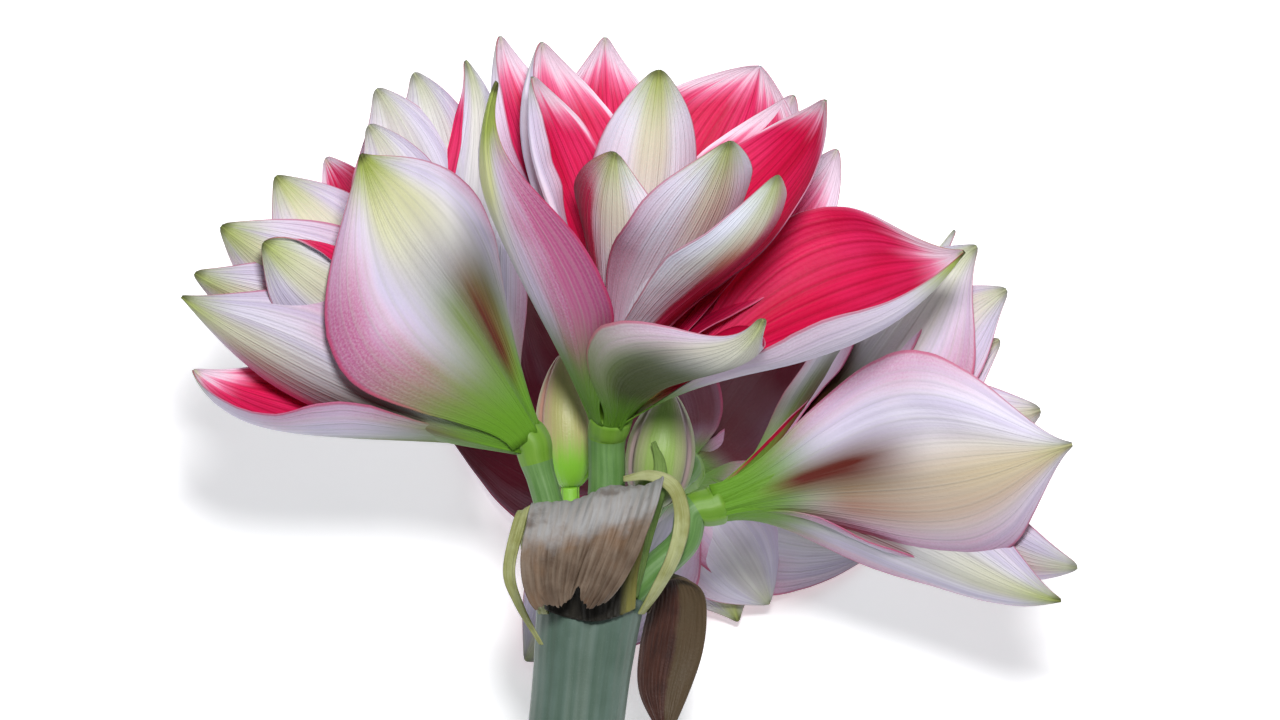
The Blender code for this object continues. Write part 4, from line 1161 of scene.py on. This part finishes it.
def bract_skin(name, low, high, vein, rough, sheen_and_shadow=None, split=None, rust=0.0):
    """Fibrous dry skin. A pair of places along it bounds a pale grey stretch, its own papery grey with a
    painted sheen, over a near black foot of painted shadow; split is the tone of one side.
    """
    made, board, shader = new_material(name)
    across, along = own_map(board, "bract_map")
    place = own_place(board)
    fibre = board.noise(board.join(across * 26.0, along * 5.0, 0.0), 1.0, 4.0)
    stain = board.noise(place, 95.0, 4.0)
    grain = board.noise(place, 1300.0, 2.0)
    colour = board.mix(low, high, (fibre * 0.5 + stain * 0.7).ease(0.40, 0.78))
    patch = board.noise(place, 60.0, 2.0).ease(0.50, 0.66)
    colour = board.mix(colour, RUST, patch * (0.5 + fibre) * rust)
    # Painted sheen in part: the pale grey stretch lies where the roll turns over, on the bract's own papery
    # grey.
    if sheen_and_shadow:
        begins = (along + (stain - 0.5) * 0.30).ease(sheen_and_shadow[0], sheen_and_shadow[0] + 0.08)
        ends = (along + (stain - 0.5) * 0.25).ease(sheen_and_shadow[1] + 0.10, sheen_and_shadow[1])
        colour = board.mix(colour, SHEEN_GREY, begins * ends * (0.6 + fibre * 0.4))
    lines = ((across * FIBRES + (fibre - 0.5) * 9.0).sin() * 0.5 + 0.5) ** 3.0
    colour = board.mix(colour, vein, lines * 0.22)
    colour = board.mix(colour, low, stain.ease(0.55, 0.72) * 0.6)
    if split:
        colour = board.mix(colour, split, (across + (stain - 0.5) * 0.2).ease(0.52, 0.62) * 0.8)
    # Painted shadow: the foot of the front bract is near black over dark dried tissue, olive at one side.
    if sheen_and_shadow:
        foot = board.mix(SHADOW_BLACK, OLIVE, across.ease(0.80, 0.93))
        colour = board.mix(colour, foot, along.ease(sheen_and_shadow[0] * 0.95, sheen_and_shadow[0] * 0.65))
    relief = lines * 0.3 + fibre * 0.3 + grain * 0.6
    finish_skin(board, shader, colour, rough + grain * 0.2, relief, 0.0002, gloss=0.3)
    return made


paper_skin = bract_skin("paper_skin", (0.070, 0.042, 0.026), (0.175, 0.125, 0.088), (0.26, 0.21, 0.16), 0.5,
                        sheen_and_shadow=(0.34, 0.60), rust=0.5)
dark_skin = bract_skin("dark_skin", (0.026, 0.008, 0.006), (0.070, 0.024, 0.016), (0.04, 0.014, 0.009), 0.45,
                       split=(0.085, 0.060, 0.030))
thread_skin = bract_skin("thread_skin", (0.24, 0.26, 0.07), (0.46, 0.50, 0.26), (0.30, 0.20, 0.10), 0.4)
leafy_skin = bract_skin("leafy_skin", (0.06, 0.12, 0.02), (0.20, 0.32, 0.08), (0.14, 0.18, 0.05), 0.4)
BRACT_SKINS = {"front": paper_skin, "hanging": dark_skin, "left": thread_skin, "right": thread_skin,
               "tip": leafy_skin}
for key, skin in BRACT_SKINS.items():
    bracts[key].data.materials.append(skin)
print("bract skins on", len(bracts), "pieces")

# %% [markdown]
# ## Laying the flower down
# All meshes so far stand upright, in millimetres. Each one is made plain, carried to the table
# by the one matrix, and hung on the single body. The petals and the tube of a bloom stand for
# its solid together, and every other piece stands for one solid.

# %% Onto the table


def settle(piece, slot, *nodes):
    """A plain mesh on the table, riding on the one body, in place of its solid."""
    name = piece.name
    mesh = as_mesh(piece, name)
    mesh.transform(TABLE)
    piece = show(name, mesh)
    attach(piece, "root")
    if nodes:
        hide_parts(*nodes)
    return piece


settle(scape, "scape_green", "scape")
for key in BLOOMS:
    settle(pedicels[key], "stalk_green", "pedicel_" + key)
    settle(blooms[key], "petals", "bloom_" + key)
    settle(tubes[key], "petals")
for key in BUDS:
    settle(buds[key], "bud_skin", "bud_" + key)
settle(bracts["front"], "dry_bract", "spathe_front")
settle(bracts["hanging"], "dark_bract", "spathe_hanging")
for key in THREADS:
    settle(bracts[key], "bracteole", "bracteole_" + key)

# %% [markdown]
# ## Table
# The table is a plain pale ground, wide enough for views from any side.

# %% Table
GROUND_HALF = 4.0
bm = bmesh.new()
bmesh.ops.create_grid(bm, x_segments=2, y_segments=2, size=GROUND_HALF)
ground = bpy.data.meshes.new("table")
bm.to_mesh(ground)
bm.free()
table = show("table", ground)
table_paint, board, shader = new_material("table_paint")
cloud = board.noise(own_place(board), 3.0, 2.0)
board.plug(shader.inputs["Base Color"], board.mix((0.86, 0.87, 0.89), (0.90, 0.91, 0.92), cloud))
shader.inputs["Roughness"].default_value = 0.8
shader.inputs["Emission Color"].default_value = (0.98, 0.99, 1.0, 1.0)
shader.inputs["Emission Strength"].default_value = 0.45
table.data.materials.append(table_paint)
